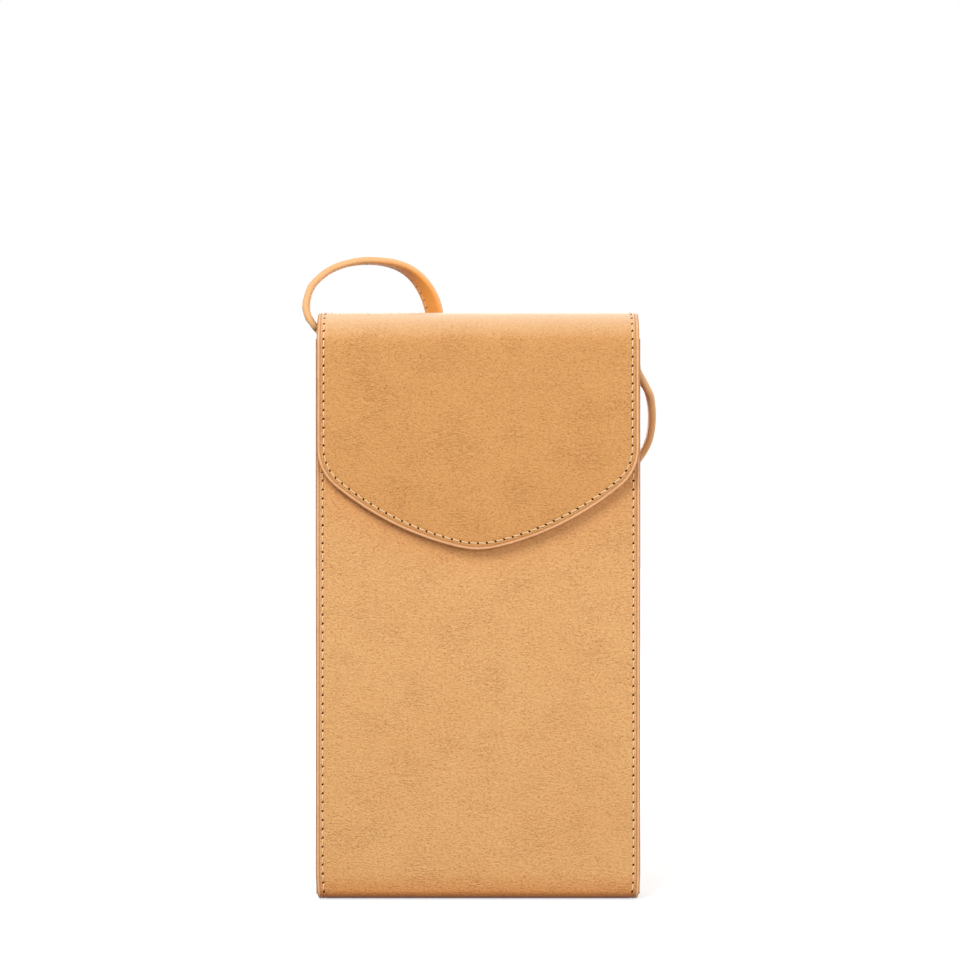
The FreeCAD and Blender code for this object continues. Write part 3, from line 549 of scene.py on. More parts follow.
# Flap: the pointed end of the body leather with its lining glued behind it, cut together, burnished and sewn
# round the edge. A disc magnet between the layers shows as a faint round swelling near the point.
FLAP_FACE = FOLD_LINE_Y - FOLD_RADIUS
FLAP_BACK = FOLD_LINE_Y - LINING_RADIUS
FLAP_TIP = 114.0
SHOULDER_RADIUS, SHOULDER_X, SHOULDER_Z = 16.0, -36.5, 147.167
CURVE_RADIUS, CURVE_X, CURVE_Z = 98.0, 15.97, 210.180
TIP_RADIUS, TIP_Z = 27.0, 141.0
OUTLINE_STEP = 1.5
SHOULDER_STEPS, CURVE_STEPS, TIP_STEPS = 16, 36, 8
FLAP_COLUMNS = 24
FLAP_SWELL, FLAP_SWELL_RUN = 0.25, 14.0
MAGNET_Z = 126.0
MAGNET_SWELLING, SWELLING_RADIUS, SWELLING_RIM = 0.13, 7.4, 2.2


def flap_outline():
    sides = between(SEAM_BELOW_FOLD, SHOULDER_Z, round((SEAM_BELOW_FOLD - SHOULDER_Z) / OUTLINE_STEP))
    places = [((-FLAP_HALF_WIDTH, z), (1, 0)) for z in sides[:-1]]
    shoulder_end = atan2(SHOULDER_Z - CURVE_Z, SHOULDER_X - CURVE_X) + 2 * pi
    curve_end = atan2(TIP_Z - CURVE_Z, -CURVE_X) + 2 * pi
    bends = [(SHOULDER_X, SHOULDER_Z, SHOULDER_RADIUS, pi, shoulder_end, SHOULDER_STEPS),
             (CURVE_X, CURVE_Z, CURVE_RADIUS, shoulder_end, curve_end, CURVE_STEPS),
             (0, TIP_Z, TIP_RADIUS, curve_end, 1.5 * pi, TIP_STEPS)]
    for x, z, radius, first, last, steps in bends:
        for turn in between(first, last, steps)[:-1]:
            out_x, out_z = cos(turn), sin(turn)
            places.append(((x + radius * out_x, z + radius * out_z), (-out_x, -out_z)))
    return places + [((0, FLAP_TIP), (0, 1))]


def flap_rows(face_y, out, thick, edge, start_along, shape):
    outline = flap_outline()
    spine = between(SEAM_BELOW_FOLD, FLAP_TIP + edge[-1][0], len(outline) - 1)
    rows = []
    for ((x, z), (in_x, in_z)), spine_z in zip(outline, spine):
        half_row = [(x + in_x * e, z + in_z * e, grain, flesh - thick, 0) for e, grain, flesh, finish in edge]
        ring_x, ring_z = half_row[-1][:2]
        for part in between(0, 1, FLAP_COLUMNS)[1:]:
            from_ring = part * hypot(ring_x, spine_z - ring_z)
            half_row.append((ring_x * (1 - part), ring_z + (spine_z - ring_z) * part, 0, -thick, from_ring))
        row = []
        other_half = [(-place[0], *place[1:]) for place in half_row[-2::-1]]
        for x, z, grain, flesh, from_ring in half_row + other_half:
            grain += shape(x, z, from_ring)
            flat = (x * MM, (start_along + SEAM_BELOW_FOLD - z) * MM)
            row.append(((x, face_y + out * grain, z), (x, face_y + out * flesh, z), flat))
        rows.append(row)
    return rows


def flap_swell(x, z, from_ring):
    calm = min(1, from_ring / FLAP_SWELL_RUN) * min(1, max(0, SEAM_BELOW_FOLD - z) / FLAP_SWELL_RUN)
    rim = min(1, max(0, (SWELLING_RADIUS - hypot(x, z - MAGNET_Z)) / SWELLING_RIM))
    wide = noise.noise(Vector((x / 34 + 5.3, 0.4, z / 30)))
    return FLAP_SWELL * calm * wide + MAGNET_SWELLING * ease(rim)


flap_along = seam_along + 2 * STRAIGHT_RUN + pi * FOLD_RADIUS
rows = flap_rows(FLAP_FACE, -1, BODY_LEATHER, SEWN_EDGE, flap_along, flap_swell)
flap = leather_layer("flap_leather", rows, flap_finishes, SEWN_EDGE, OPEN_ENDS)
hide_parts("flap_outer")
rows = flap_rows(FLAP_BACK, 1, LINING_LEATHER, PLAIN_EDGE, 0, lambda x, z, from_ring: 0)
flap_lining = leather_layer("flap_lining_leather", rows, flap_lining_finishes, PLAIN_EDGE, OPEN_ENDS)
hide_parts("flap_lining")
for layer in (flap, flap_lining):
    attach(layer, "flap")
# Painted shadow: the front panel under the flap's edge is darkened and warmed, standing in for the flap's
# shade and the light bounced off the leather
SHADOW_ABOVE, SHADOW_BELOW = 4.0, 13.0
SHADOW_DEPTH, SHADOW_FADE = 0.34, 1.6
outline = [place for place, inward in flap_outline()]
under_flap_shadow = body.data.attributes.new("flap_shadow", "FLOAT", "POINT")
for corner, mark in zip(body.data.vertices, under_flap_shadow.data):
    x, y, z = corner.co / MM
    if y < 0 and z > FLAP_TIP - SHADOW_BELOW:
        nearest = min(outline, key=lambda place: dist(place, (-abs(x), z)))
        reach = SHADOW_BELOW if z < nearest[1] else SHADOW_ABOVE
        mark.value = SHADOW_DEPTH * max(0, 1 - dist(nearest, (-abs(x), z)) / reach) ** SHADOW_FADE
flap_shadow_mask = add_node(tan_leather.node_tree, "ShaderNodeAttribute", attribute_name="flap_shadow").outputs["Fac"]
# Painted shadow: the warm darkening under the flap's edge
shade_hide(tan_leather, (254, 214, 142), flap_shadow_mask)

# Seams: waxed linen thread in saddle stitch, about nine stitches to the inch. Each stitch lies between two
# awl holes, which show dark and a little slanted, and the thread sinks in a shallow channel.
STITCH_PITCH = 2.9
STITCH_INSET = 2.3
SEAM_END = 2.6
SEAM_STEPS = 60
CHANNEL_BED, FACING_BED = -0.13, -0.06
# Along one stitch: part of its length, height of the thread, and its size
THREAD_LINE = [(0.08, -0.22, 0.75), (0.14, 0.05, 0.95), (0.30, 0.16, 1.0), (0.50, 0.18, 1.0),
               (0.70, 0.16, 1.0), (0.86, 0.05, 0.95), (0.92, -0.22, 0.75)]
THREAD_SIDES = 6
THREAD_HALF_WIDTH, THREAD_HALF_HEIGHT, THREAD_SKEW = 0.24, 0.20, 0.16
AWL_SLANT = radians(38)
HOLE_SIDES = 8
HOLE_HALF_LENGTH, HOLE_HALF_WIDTH = 0.46, 0.30
HOLE_RIM, HOLE_MIDDLE, HOLE_FLOOR = 0.1, 0.07, -0.3


def thread_finish(name, pale, dark):
    finish = new_finish(name)
    flat = on_hide(finish.node_tree)
    ply = add_node(finish.node_tree, "ShaderNodeTexWave",
                   {"Vector": flat, "Scale": 900.0, "Distortion": 1.5, "Detail": 1.0},
                   wave_type="BANDS", bands_direction="DIAGONAL").outputs[1]
    lint = mottle(flat, 2500.0, 3.0)
    tone = ramp(weigh((lint, 0.4), (ply, 0.6)), (0.2, dark), (0.7, pale))
    return set_finish(finish, tone, number("MULTIPLY_ADD", lint, 0.2, 0.5), ply, 0.5, 0.1)


# A line gives places and the direction out of the leather there. It is divided into even stitches.
def stitches_along(line):
    line = [(Vector(place), Vector(up)) for place, up in line]
    lengths = [0.0]
    for (here, _), (there, _) in zip(line, line[1:]):
        lengths.append(lengths[-1] + (there - here).length)
    holes, at = [], 0
    for goal in between(0, lengths[-1], round(lengths[-1] / STITCH_PITCH)):
        while at < len(lengths) - 2 and lengths[at + 1] < goal:
            at += 1
        part = (goal - lengths[at]) / (lengths[at + 1] - lengths[at])
        (here, up_here), (there, up_there) = line[at], line[at + 1]
        holes.append((here.lerp(there, part), up_here.lerp(up_there, part).normalized()))
    return list(zip(holes, holes[1:]))


def tube_faces(start, rings, sides):
    faces = []
    for r in range(rings - 1):
        here, ahead = start + sides * r, start + sides * (r + 1)
        for i in range(sides):
            beside = (i + 1) % sides
            faces.append((here + i, here + beside, ahead + beside, ahead + i))
    return faces


def sewing(name, stitches, bed):
    corners, hide, faces, face_finish = [], [], [], []
    for k, ((here, up_here), (there, up_there)) in enumerate(stitches):
        ahead = (there - here).normalized()
        up = (up_here + up_there).normalized()
        side = ahead.cross(up)
        start = len(corners)
        for part, lift, size in THREAD_LINE:
            middle = here.lerp(there, part) + up * (bed + lift) + side * (THREAD_SKEW * (part - 0.5))
            for i in range(THREAD_SIDES):
                turn = 2 * pi * i / THREAD_SIDES
                wide = side * (cos(turn) * THREAD_HALF_WIDTH * size)
                corners.append(middle + wide + up * (sin(turn) * THREAD_HALF_HEIGHT * size))
                hide.append(((k * 3.1 + i * 0.3) * MM, part * STITCH_PITCH * MM))
        thread = tube_faces(start, len(THREAD_LINE), THREAD_SIDES)
        for end in (start, len(corners) - THREAD_SIDES):
            thread.append(tuple(range(end, end + THREAD_SIDES)))
        faces += thread
        face_finish += [0] * len(thread)
        for hole, up_hole in ((here, up_here), (there, up_there)):
            if hole is there and k + 1 < len(stitches) and stitches[k + 1][0][0] is there:
                continue
            long_way = ahead * cos(AWL_SLANT) + ahead.cross(up_hole) * sin(AWL_SLANT)
            short_way = long_way.cross(up_hole)
            start = len(corners)
            for i in range(HOLE_SIDES):
                turn = 2 * pi * i / HOLE_SIDES
                reach = long_way * (cos(turn) * HOLE_HALF_LENGTH)
                reach += short_way * (sin(turn) * HOLE_HALF_WIDTH)
                corners.append(hole + reach + up_hole * (bed + HOLE_RIM))
            corners += [hole + up_hole * (bed + HOLE_MIDDLE), hole + up_hole * (bed + HOLE_FLOOR)]
            hide += [(0.0, 0.0)] * (HOLE_SIDES + 2)
            for i in range(HOLE_SIDES):
                beside = (i + 1) % HOLE_SIDES
                faces.append((start + i, start + beside, start + HOLE_SIDES))
                faces.append((start + beside, start + i, start + HOLE_SIDES + 1))
                face_finish += [1, 1]
    return new_piece(name, corners, faces, [waxed_thread, awl_hole], face_finish, hide)


waxed_thread = thread_finish("waxed_thread", (250, 216, 172), (232, 188, 138))
awl_hole = burnished("awl_hole", (78, 32, 8), (56, 20, 4), rough=0.95, gloss=0.0)
for side, hand in (("left", -1), ("right", 1)):
    for panel, face, top in (("front", -1, MOUTH - SEAM_END), ("back", 1, SEAM_BELOW_FOLD)):
        line = []
        for z in between(SEAM_END, top, SEAM_STEPS):
            place = (hand * (body_half_width(z) - STITCH_INSET), face * BODY_HALF_DEPTH, z)
            line.append((place, (0, face, 0)))
        seam = sewing(f"{panel}_{side}_seam", stitches_along(line), CHANNEL_BED)
        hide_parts(f"{panel}_{side}_stitches")
        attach(seam, "pouch")
for row, face in (("mouth", -1), ("back_facing", 1)):
    low, high = [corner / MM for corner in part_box(f"{row}_stitches")]
    z = (low.z + high.z) / 2
    line = [((x, face * BODY_HALF_DEPTH, z), (0, face, 0)) for x in (low.x, high.x)]
    seam = sewing(f"{row}_seam", stitches_along(line), FACING_BED)
    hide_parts(f"{row}_stitches")
    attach(seam, "pouch")

# Flap seam: the same waxed thread, sewn up over the fold and round the flap's edge. It goes through both
# layers, so it shows on the leather and on the lining.
FOLD_SEAM_X = FLAP_HALF_WIDTH - STITCH_INSET
FOLD_SEAM_STEPS = 10
# Layer, radius in the fold, outward direction, bed, and how much wider the seam starts at the back panel
FOLD_SEAMS = [("leather", FOLD_RADIUS, 1, CHANNEL_BED, 0.8), ("lining", LINING_RADIUS, -1, 0.0, 0.0)]


def fold_seam(hand, radius, out_of, wider):
    line = []
    for part in between(0, 1, FOLD_SEAM_STEPS):
        x = hand * (FOLD_SEAM_X + wider * (1 - part))
        line.append(((x, FOLD_LINE_Y + radius, SEAM_BELOW_FOLD + STRAIGHT_RUN * part), (0, out_of, 0)))
    for angle in range(2, 179, 2):
        turn = radians(angle)
        up = (0, out_of * cos(turn), out_of * sin(turn))
        line.append(((hand * FOLD_SEAM_X, *fold_place(angle, radius)), up))
    for z in between(FOLD_LINE_Z, SEAM_BELOW_FOLD, FOLD_SEAM_STEPS):
        line.append(((hand * FOLD_SEAM_X, FOLD_LINE_Y - radius, z), (0, -out_of, 0)))
    return stitches_along(line)


for i, (length, carrier, carried) in enumerate(FOLD_LENGTHS):
    lowest = FOLD_ANGLES[i] if i > 0 else -90
    highest = FOLD_ANGLES[i + 1] if carried != "flap" else 270
    for layer, radius, out_of, bed, wider in FOLD_SEAMS:
        stitches = []
        for stitch in fold_seam(-1, radius, out_of, wider) + fold_seam(1, radius, out_of, wider):
            middle = (stitch[0][0] + stitch[1][0]) / 2
            angle = degrees(atan2(middle.z - FOLD_LINE_Z, middle.y - FOLD_LINE_Y))
            angle = angle + 360 if angle < -90 else angle
            if lowest <= angle < highest and (layer == "leather" or middle.z > FOLD_LINE_Z):
                stitches.append(stitch)
        seam = sewing(f"fold_{length}_{layer}_seam", stitches, bed)
        if carried != "flap" and layer == "leather":
            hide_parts(f"{carried}_stitches")
        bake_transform(seam)
half_line = [(x + in_x * STITCH_INSET, z + in_z * STITCH_INSET) for (x, z), (in_x, in_z) in flap_outline()]
whole_line = half_line + [(-x, z) for x, z in reversed(half_line[:-1])]
for name, y, up, bed in (("flap_seam", FLAP_FACE, -1, CHANNEL_BED), ("flap_lining_seam", FLAP_BACK, 1, 0.0)):
    seam = sewing(name, stitches_along([((x, y, z), (0, up, 0)) for x, z in whole_line]), bed)
    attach(seam, "flap")
    if up < 0:
        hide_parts("flap_stitches")

# Strap: a narrow band of hide folded double and sewn along its open edge. It leaves the mouth at the left,
# loops up and goes behind the pouch, is wound there into a tied coil, and comes back to the mouth at the
# right.
STRAP_HALF_WIDTH = 4.0
STRAP_LEATHER = 2.2
COIL_RADIUS = 41.5
COIL_PITCH = 3.0
COIL_LAYER = 8.6
COIL_LEAN = radians(42)
COIL_MIDDLE_Y, COIL_MIDDLE_Z = 42.810, 34.360
POINTS_IN_HALF_TURN = 12
LEFT_EXIT, LEFT_HEADING = Vector((-52.80, -1.2, 186.24)), Vector((-0.643, 0, 0.766))
RIGHT_EXIT, RIGHT_HEADING = Vector((52.46, -1.2, 172.78)), Vector((0.5, 0, -0.866))
STRAP_LEAD = 5.0
LEFT_RISE, RIGHT_RISE = 20.0, 22.0
coil_up = Vector((0, -sin(COIL_LEAN), cos(COIL_LEAN)))
coil_axis = Vector((0, cos(COIL_LEAN), sin(COIL_LEAN)))


def on_coil(x, across, up):
    return Vector((x, COIL_MIDDLE_Y, COIL_MIDDLE_Z)) + coil_axis * across + coil_up * up


def coil_points():
    front = (-COIL_RADIUS, COIL_RADIUS, COIL_PITCH - COIL_RADIUS, COIL_RADIUS - COIL_PITCH)
    rear = (2 * COIL_PITCH - COIL_RADIUS, COIL_RADIUS, COIL_PITCH - COIL_RADIUS, COIL_RADIUS + COIL_PITCH)
    stops = [(x, 0.0) for x in front] + [(x, COIL_LAYER) for x in rear]
    points = [on_coil(*stops[0], 0)]
    for half, ((x, across), (next_x, next_across)) in enumerate(zip(stops, stops[1:])):
        middle, reach = (x + next_x) / 2, (x - next_x) / 2
        up_or_down = 1 if half % 2 else -1
        for i in range(1, POINTS_IN_HALF_TURN + 1):
            turn = pi * i / POINTS_IN_HALF_TURN
            climb = across + (next_across - across) * i / POINTS_IN_HALF_TURN
            height = up_or_down * abs(reach) * sin(turn)
            points.append(on_coil(middle + reach * cos(turn), climb, height))
    return points


coil = coil_points()
left_stretch = [LEFT_EXIT, LEFT_EXIT + LEFT_HEADING * STRAP_LEAD] + [Vector(point) for point in [
    (-57.2, 5.0, 195.2), (-56.0, 12.6, 202.5), (-48.5, 17.6, 209.2), (-36.5, 19.0, 211.6),
    (-23.5, 19.4, 209.0), (-15.4, 18.8, 198.8), (-13.6, 18.2, 185.0), (-18.0, 17.8, 156.0),
    (-28.0, 18.6, 120.0), (-37.0, 22.4, 82.0),
]] + [coil[0] + coil_up * LEFT_RISE]
right_stretch = [RIGHT_EXIT, RIGHT_EXIT + RIGHT_HEADING * STRAP_LEAD] + [Vector(point) for point in [
    (57.2, 2.8, 164.4), (58.2, 8.0, 156.4), (57.0, 12.8, 148.4), (52.0, 17.0, 141.4), (48.9, 20.8, 122.0),
    (46.6, 26.2, 94.0),
]] + [coil[-1] + coil_up * RIGHT_RISE]
route = left_stretch + coil + right_stretch[::-1]


def smooth_line(points, resolution):
    curve = bpy.data.curves.new("strap_line", "CURVE")
    curve.dimensions = "3D"
    spline = curve.splines.new("NURBS")
    spline.points.add(len(points) - 1)
    for control, point in zip(spline.points, points):
        control.co = (*(point * MM), 1)
    spline.order_u = 3
    spline.use_endpoint_u = True
    spline.resolution_u = resolution
    carrier = bpy.data.objects.new("strap_line", curve)
    mesh = bpy.data.meshes.new_from_object(carrier)
    line = [vertex.co / MM for vertex in mesh.vertices]
    bpy.data.objects.remove(carrier)
    bpy.data.curves.remove(curve)
    bpy.data.meshes.remove(mesh)
    return line


# How far the strap rolls about its own length: distance along it, and degrees
STRAP_ROLL = [(0, 0), (20, 6), (36, 4), (46, 0), (76, -40), (98, -49), (128, -20), (170, 0)]
LEAN_RUN = 70.0


def strap_roll(distance):
    for (here, roll), (there, next_roll) in zip(STRAP_ROLL, STRAP_ROLL[1:]):
        if here <= distance < there:
            return radians(roll + (next_roll - roll) * ease((distance - here) / (there - here)))
    return 0.0


# Each place on a line, with its heading and the distance to it
def walk(line):
    steps, distance = [], 0.0
    for i, place in enumerate(line):
        before, after = line[max(i - 1, 0)], line[min(i + 1, len(line) - 1)]
        distance += (place - before).length
        steps.append((place, (after - before).normalized(), distance))
    return steps


# The strap lies across the pouch's depth at its ends and along the coil's axis in the coil, and turns gently
# between the two
def strap_frames(line):
    steps = walk(line)
    nearest = [min(steps, key=lambda step: (step[0] - end).length) for end in (coil[0], coil[-1])]
    coil_from, coil_to = [distance for place, ahead, distance in nearest]
    frames = []
    for place, ahead, distance in steps:
        outside = max(coil_from - distance, distance - coil_to, 0) / LEAN_RUN
        lean = COIL_LEAN * ease(1 - min(1, outside))
        across = Vector((0, cos(lean), sin(lean)))
        across = (across - ahead * across.dot(ahead)).normalized()
        across = Matrix.Rotation(strap_roll(distance), 3, ahead) @ across
        frames.append((place, ahead, across, ahead.cross(across), distance))
    return frames


# The strap's open edge: distance in from it, and height in the half thickness
STRAP_EDGE = [(0.0, 0.35), (0.08, 0.62), (0.28, 0.86), (0.55, 0.97), (0.85, 1.0), (1.05, 0.95), (1.25, 0.93),
              (1.45, 0.96), (1.7, 1.0)]
STRAP_BEND_STEPS = 5
BURNISHED_COLUMNS = 3


# Outer half of the strap's section, from the middle of its folded edge to the open edge: place across, height
# in the half thickness, and distance round the leather from the folded edge
def strap_half_section():
    bend = STRAP_LEATHER / 2
    turns = between(0, pi / 2, STRAP_BEND_STEPS)
    places = [(bend * (1 - cos(turn)), sin(turn), bend * turn) for turn in turns]
    flat = [(STRAP_HALF_WIDTH, 1.0)] + [(2 * STRAP_HALF_WIDTH - e, h) for e, h in reversed(STRAP_EDGE)]
    return places + [(x, h, x + bend * (pi / 2 - 1)) for x, h in flat]


def strap_piece(name, frames, finishes):
    outer = strap_half_section()
    section = outer + [(x, -h, -round_it) for x, h, round_it in reversed(outer[1:])]
    count, open_edge = len(section), len(outer) - 1
    corners, hide = [], []
    for place, ahead, across, through, distance in frames:
        for x, h, round_it in section:
            corners.append(place + across * (x - STRAP_HALF_WIDTH) + through * h * STRAP_LEATHER / 2)
            hide.append((round_it * MM, distance * MM))
    faces = tube_faces(0, len(frames), count)
    ring = [1 if abs(c - open_edge) <= BURNISHED_COLUMNS else 0 for c in range(count)]
    face_finish = ring * (len(frames) - 1)
    for start, turn in ((0, 1), (count * (len(frames) - 1), -1)):
        faces.append((start, start + 1, start + count - 1)[::turn])
        for c in range(1, open_edge):
            faces.append((start + c, start + c + 1, start + count - c - 1, start + count - c)[::turn])
        face_finish += [1] * open_edge
    return new_piece(name, corners, faces, finishes, face_finish, hide)


# A row of small stitches along the open edge: thread between holes, worked out on the flat strap
ROW_INSET = 1.8
ROW_HALF_WIDTH, ROW_HOLE_RADIUS = 0.22, 0.34


def sew_strap(finish, row_at):
    girth, along, _ = hide_axes(finish.node_tree)
    from_row = away_from(number("ABSOLUTE", girth), row_at * MM)
    step = number("FRACT", number("DIVIDE", along, STITCH_PITCH * MM))
    from_hole = times(away_from(step, 0.5), STITCH_PITCH * MM)
    reach = number("SQRT", number("MULTIPLY_ADD", from_hole, from_hole, times(from_row, from_row)))
    in_hole = number("LESS_THAN", reach, ROW_HOLE_RADIUS * MM)
    on_row = number("LESS_THAN", from_row, ROW_HALF_WIDTH * MM)
    shade_hide(finish, (240, 200, 158), times(on_row, 0.8), "MIX")
    shade_hide(finish, (70, 32, 12), in_hole, "MIX")


strap_leather = tanned_hide("strap_leather", (240, 190, 138), (231, 175, 118),
                            (205, 146, 20), grain=0.09, wrinkles=0.1, rough=0.55, gloss=0.2)
# Painted shade: the inner face of the loop is made warmer and darker, standing in for its shade and the light
# bounced off the leather
girth, along, _ = hide_axes(strap_leather.node_tree)
inner = ramp(number("MULTIPLY_ADD", girth, 600.0, 0.6), (0.0, 1), (1.0, 0))
loop_shade_span = ramp(times(along, 4.0), (0.16, 0), (0.26, 1), (0.46, 1), (0.64, 0))
shade_hide(strap_leather, (252, 215, 148), times(inner, loop_shade_span))
sew_strap(strap_leather, strap_half_section()[-1][2] - ROW_INSET)
strap_edge = burnished("strap_burnished_edge", (232, 176, 122), (206, 142, 86), rough=0.4)
strap_finishes = [strap_leather, strap_edge]
strap_line = smooth_line(route, 6)
strap = strap_piece("shoulder_strap", strap_frames(strap_line), strap_finishes)
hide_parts("strap_left_stretch", "strap_coil", "strap_right_stretch")
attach(strap, "pouch")

# Strap ends: the strap runs down inside each gusset, turned out over the gusset's top, and two rows of thread
# hold it to the gusset.
STRAP_END_X = 45.8
SEWN_FROM = GUSSET_TOP - 26.0
SEWN_ROWS = (SEWN_FROM + 1.2, GUSSET_TOP - 1.0)
SEWN_APART = 2.7
LEFT_END = [(-STRAP_END_X, SEWN_FROM), (-STRAP_END_X, 167.0), (-STRAP_END_X, 179.9)]
RIGHT_END = [(STRAP_END_X, SEWN_FROM), (STRAP_END_X, 170.0), (STRAP_END_X, 176.3), (46.4, 179.2),
             (49.0, 180.6), (51.6, 179.4), (51.96, 177.65)]
for side, hand, points, leaves in (("left", -1, LEFT_END, LEFT_EXIT), ("right", 1, RIGHT_END, RIGHT_EXIT)):
    line = smooth_line([Vector((x, leaves.y, z)) for x, z in points] + [leaves], 10)[::-hand]
    depth = Vector((0, 1, 0))
    frames = [(place, ahead, depth, ahead.cross(depth), distance) for place, ahead, distance in walk(line)]
    strap_end = strap_piece(f"{side}_strap_sewn_end", frames, strap_finishes)
    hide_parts(f"{side}_strap_end")
    inner_x = hand * (STRAP_END_X - STRAP_LEATHER / 2)
    stitches = []
    for y in (leaves.y - SEWN_APART, leaves.y + SEWN_APART):
        stitches += stitches_along([((inner_x, y, z), (-hand, 0, 0)) for z in SEWN_ROWS])
    seam = sewing(f"{side}_strap_end_seam", stitches, 0.0)
    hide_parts(f"{side}_strap_end_stitches")
    for piece in (strap_end, seam):
        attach(piece, "pouch")

# Tie: a short band of thin hide round the top of the coil. Its end is lapped over the start and glued, and
# it keeps the spare length of the strap together.
TIE_LEATHER = 0.8
TIE_HALF_WIDTH = 2.5
TIE_X = 1.5
TIE_BEND = 1.6
TIE_LOW, TIE_HIGH = (-5.0, 33.7), (13.6, 42.0)
TIE_LAP, LAP_FROM, LAP_RISE = 0.9, 330, 40
TIE_TAIL = (8.0, 5.0)
TIE_EDGE = [(e, grain * 0.5, flesh * 0.5, finish) for e, grain, flesh, finish in BURNISHED_EDGE]


def tie_lines():
    (low_a, low_b), (high_a, high_b) = TIE_LOW, TIE_HIGH
    corners = [(high_a, high_b), (low_a, high_b), (low_a, low_b), (high_a, low_b), (high_a, high_b)]
    places = []
    for k, (a, b) in enumerate(corners):
        middle_a = a - copysign(TIE_BEND, a - low_a - 1)
        middle_b = b - copysign(TIE_BEND, b - low_b - 1)
        for angle in between(90 * k, 90 * k + 90, 6):
            turn = radians(angle)
            out = (cos(turn), sin(turn))
            reach = TIE_BEND + TIE_LAP * min(1, max(0, angle - LAP_FROM) / LAP_RISE)
            places.append(((middle_a + reach * out[0], middle_b + reach * out[1]), out, 1))
    places += [((a, high_b + TIE_LAP), (0, 1), 1) for a in TIE_TAIL]
    return measured(places, lambda place: TIE_HALF_WIDTH)


tie = strip_layer("strap_tie_band", tie_lines(), TIE_LEATHER, gusset_finishes, TIE_EDGE, columns=6,
                  stand=lambda across, a, b: on_coil(TIE_X + across, a, b))
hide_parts("strap_tie")
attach(tie, "pouch")

# Magnets: two plated steel-grey discs that hold the flap shut. One is glued under the front facing, and the
# other between the flap's leather and its lining.
MAGNET_SECTION = [(0.0, 0.0), (5.4, 0.0), (5.75, 0.03), (5.93, 0.12), (6.0, 0.28), (6.0, 0.52), (5.93, 0.68),
                  (5.75, 0.77), (5.4, 0.8), (0.0, 0.8)]
MAGNET_SIDES = 48
plated = new_finish("plated_magnet")
tree = plated.node_tree
shader = tree.nodes["Principled BSDF"]
wear = mottle(add_node(tree, "ShaderNodeTexCoord").outputs["Object"], 900.0, 3.0)
plating = ramp(wear, (0.3, (150, 150, 156)), (0.7, (196, 196, 200)))
tree.links.new(plating, shader.inputs["Base Color"])
tree.links.new(number("MULTIPLY_ADD", wear, 0.2, 0.2), shader.inputs["Roughness"])
shader.inputs["Metallic"].default_value = 1.0
for node, carrier in (("front_magnet", "pouch"), ("flap_magnet", "flap")):
    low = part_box(node)[0] / MM
    corners = []
    for radius, lift in MAGNET_SECTION:
        for i in range(MAGNET_SIDES):
            turn = 2 * pi * i / MAGNET_SIDES
            corners.append((radius * cos(turn), low.y + lift, MAGNET_Z + radius * sin(turn)))
    faces = tube_faces(0, len(MAGNET_SECTION), MAGNET_SIDES)
    magnet = new_piece(f"{node}_disc", corners, faces, [plated], [0] * len(faces))
    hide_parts(node)
    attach(magnet, carrier)

# Setting: a white floor and surround, which look white to the camera and throw little light back, soft lights
# all round, and a camera level with the pouch's upper half
CAMERA_PLACE = (0.65, -813.6, 136.9)
LENS, SENSOR = 92.35, 36
FLOOR_REACH, FLOOR_Z = 3000.0, -0.2
SURROUND_LIGHT = 0.34


def seen_white(tree):
    ray = add_node(tree, "ShaderNodeLightPath").outputs
    seen = number("MAXIMUM", ray["Is Camera Ray"], ray["Is Glossy Ray"])
    return number("MAXIMUM", seen, ray["Is Transmission Ray"])


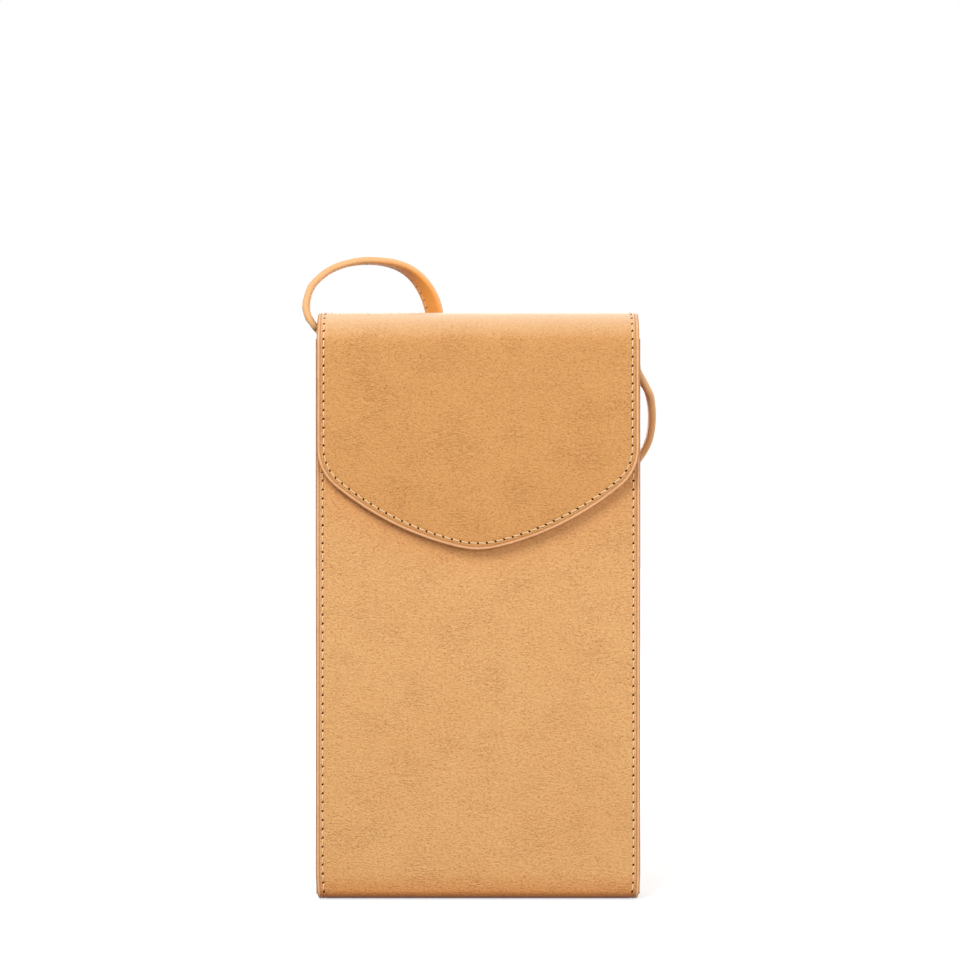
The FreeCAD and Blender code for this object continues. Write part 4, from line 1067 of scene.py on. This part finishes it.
floor_finish = new_finish("white_floor")
tree = floor_finish.node_tree
tree.nodes.remove(tree.nodes["Principled BSDF"])
matte = add_node(tree, "ShaderNodeBsdfDiffuse", {"Color": grey(0.16)})
shaded = add_node(tree, "ShaderNodeBsdfDiffuse", {"Color": grey(0.55)})
place = add_node(tree, "ShaderNodeNewGeometry").outputs["Position"]
away = add_node(tree, "ShaderNodeVectorMath", {0: place}, operation="LENGTH").outputs["Value"]
level = ramp(away, (0.10, 0.60), (0.42, 0.96))
glow = add_node(tree, "ShaderNodeEmission", {"Color": grey(1), "Strength": level})
white = add_node(tree, "ShaderNodeAddShader", {0: shaded.outputs[0], 1: glow.outputs[0]})
seen = seen_white(tree)
choice = add_node(tree, "ShaderNodeMixShader", {0: seen, 1: matte.outputs[0], 2: white.outputs[0]})
tree.links.new(choice.outputs[0], tree.nodes["Material Output"].inputs[0])
floor_corners = [(x * FLOOR_REACH, y * FLOOR_REACH, FLOOR_Z) for x, y in ((-1, -1), (1, -1), (1, 1), (-1, 1))]
floor = new_piece("floor", floor_corners, [(0, 1, 2, 3)], [floor_finish], [0])

world = bpy.data.worlds.new("white_surround")
bpy.context.scene.world = world
world.use_nodes = True
surround = world.node_tree.nodes["Background"]
strength = number("MULTIPLY_ADD", seen_white(world.node_tree), 1 - SURROUND_LIGHT, SURROUND_LIGHT)
world.node_tree.links.new(strength, surround.inputs["Strength"])
surround.inputs["Color"].default_value = grey(1)


def set_up(name, thing, place, turn):
    stand = bpy.data.objects.new(name, thing)
    stand.location = Vector(place) * MM
    stand.rotation_euler = turn
    bpy.context.collection.objects.link(stand)
    return stand


def soft_light(name, place, aim, size, power):
    lamp = bpy.data.lights.new(name, "AREA")
    lamp.shape = "RECTANGLE"
    lamp.size, lamp.size_y = size[0] * MM, size[1] * MM
    lamp.energy = power
    set_up(name, lamp, place, (Vector(aim) - Vector(place)).to_track_quat("-Z", "Y").to_euler())


soft_light("key_light", (-420, -700, 760), (0, 0, 100), (620, 460), 7.3)
soft_light("fill_light", (380, -900, 60), (0, 0, 60), (700, 500), 5.7)
soft_light("top_light", (0, 330, 780), (0, 0, 180), (900, 600), 1.0)
soft_light("back_light", (-160, 950, 420), (0, 0, 90), (800, 600), 4.0)
soft_light("side_light", (760, -60, 330), (0, 0, 130), (400, 600), 2.2)

camera = bpy.data.cameras.new("camera")
camera.lens = LENS
camera.sensor_width = SENSOR
bpy.context.scene.camera = set_up("camera", camera, CAMERA_PLACE, (pi / 2, 0, 0))
bpy.context.scene.view_settings.view_transform = "Standard"
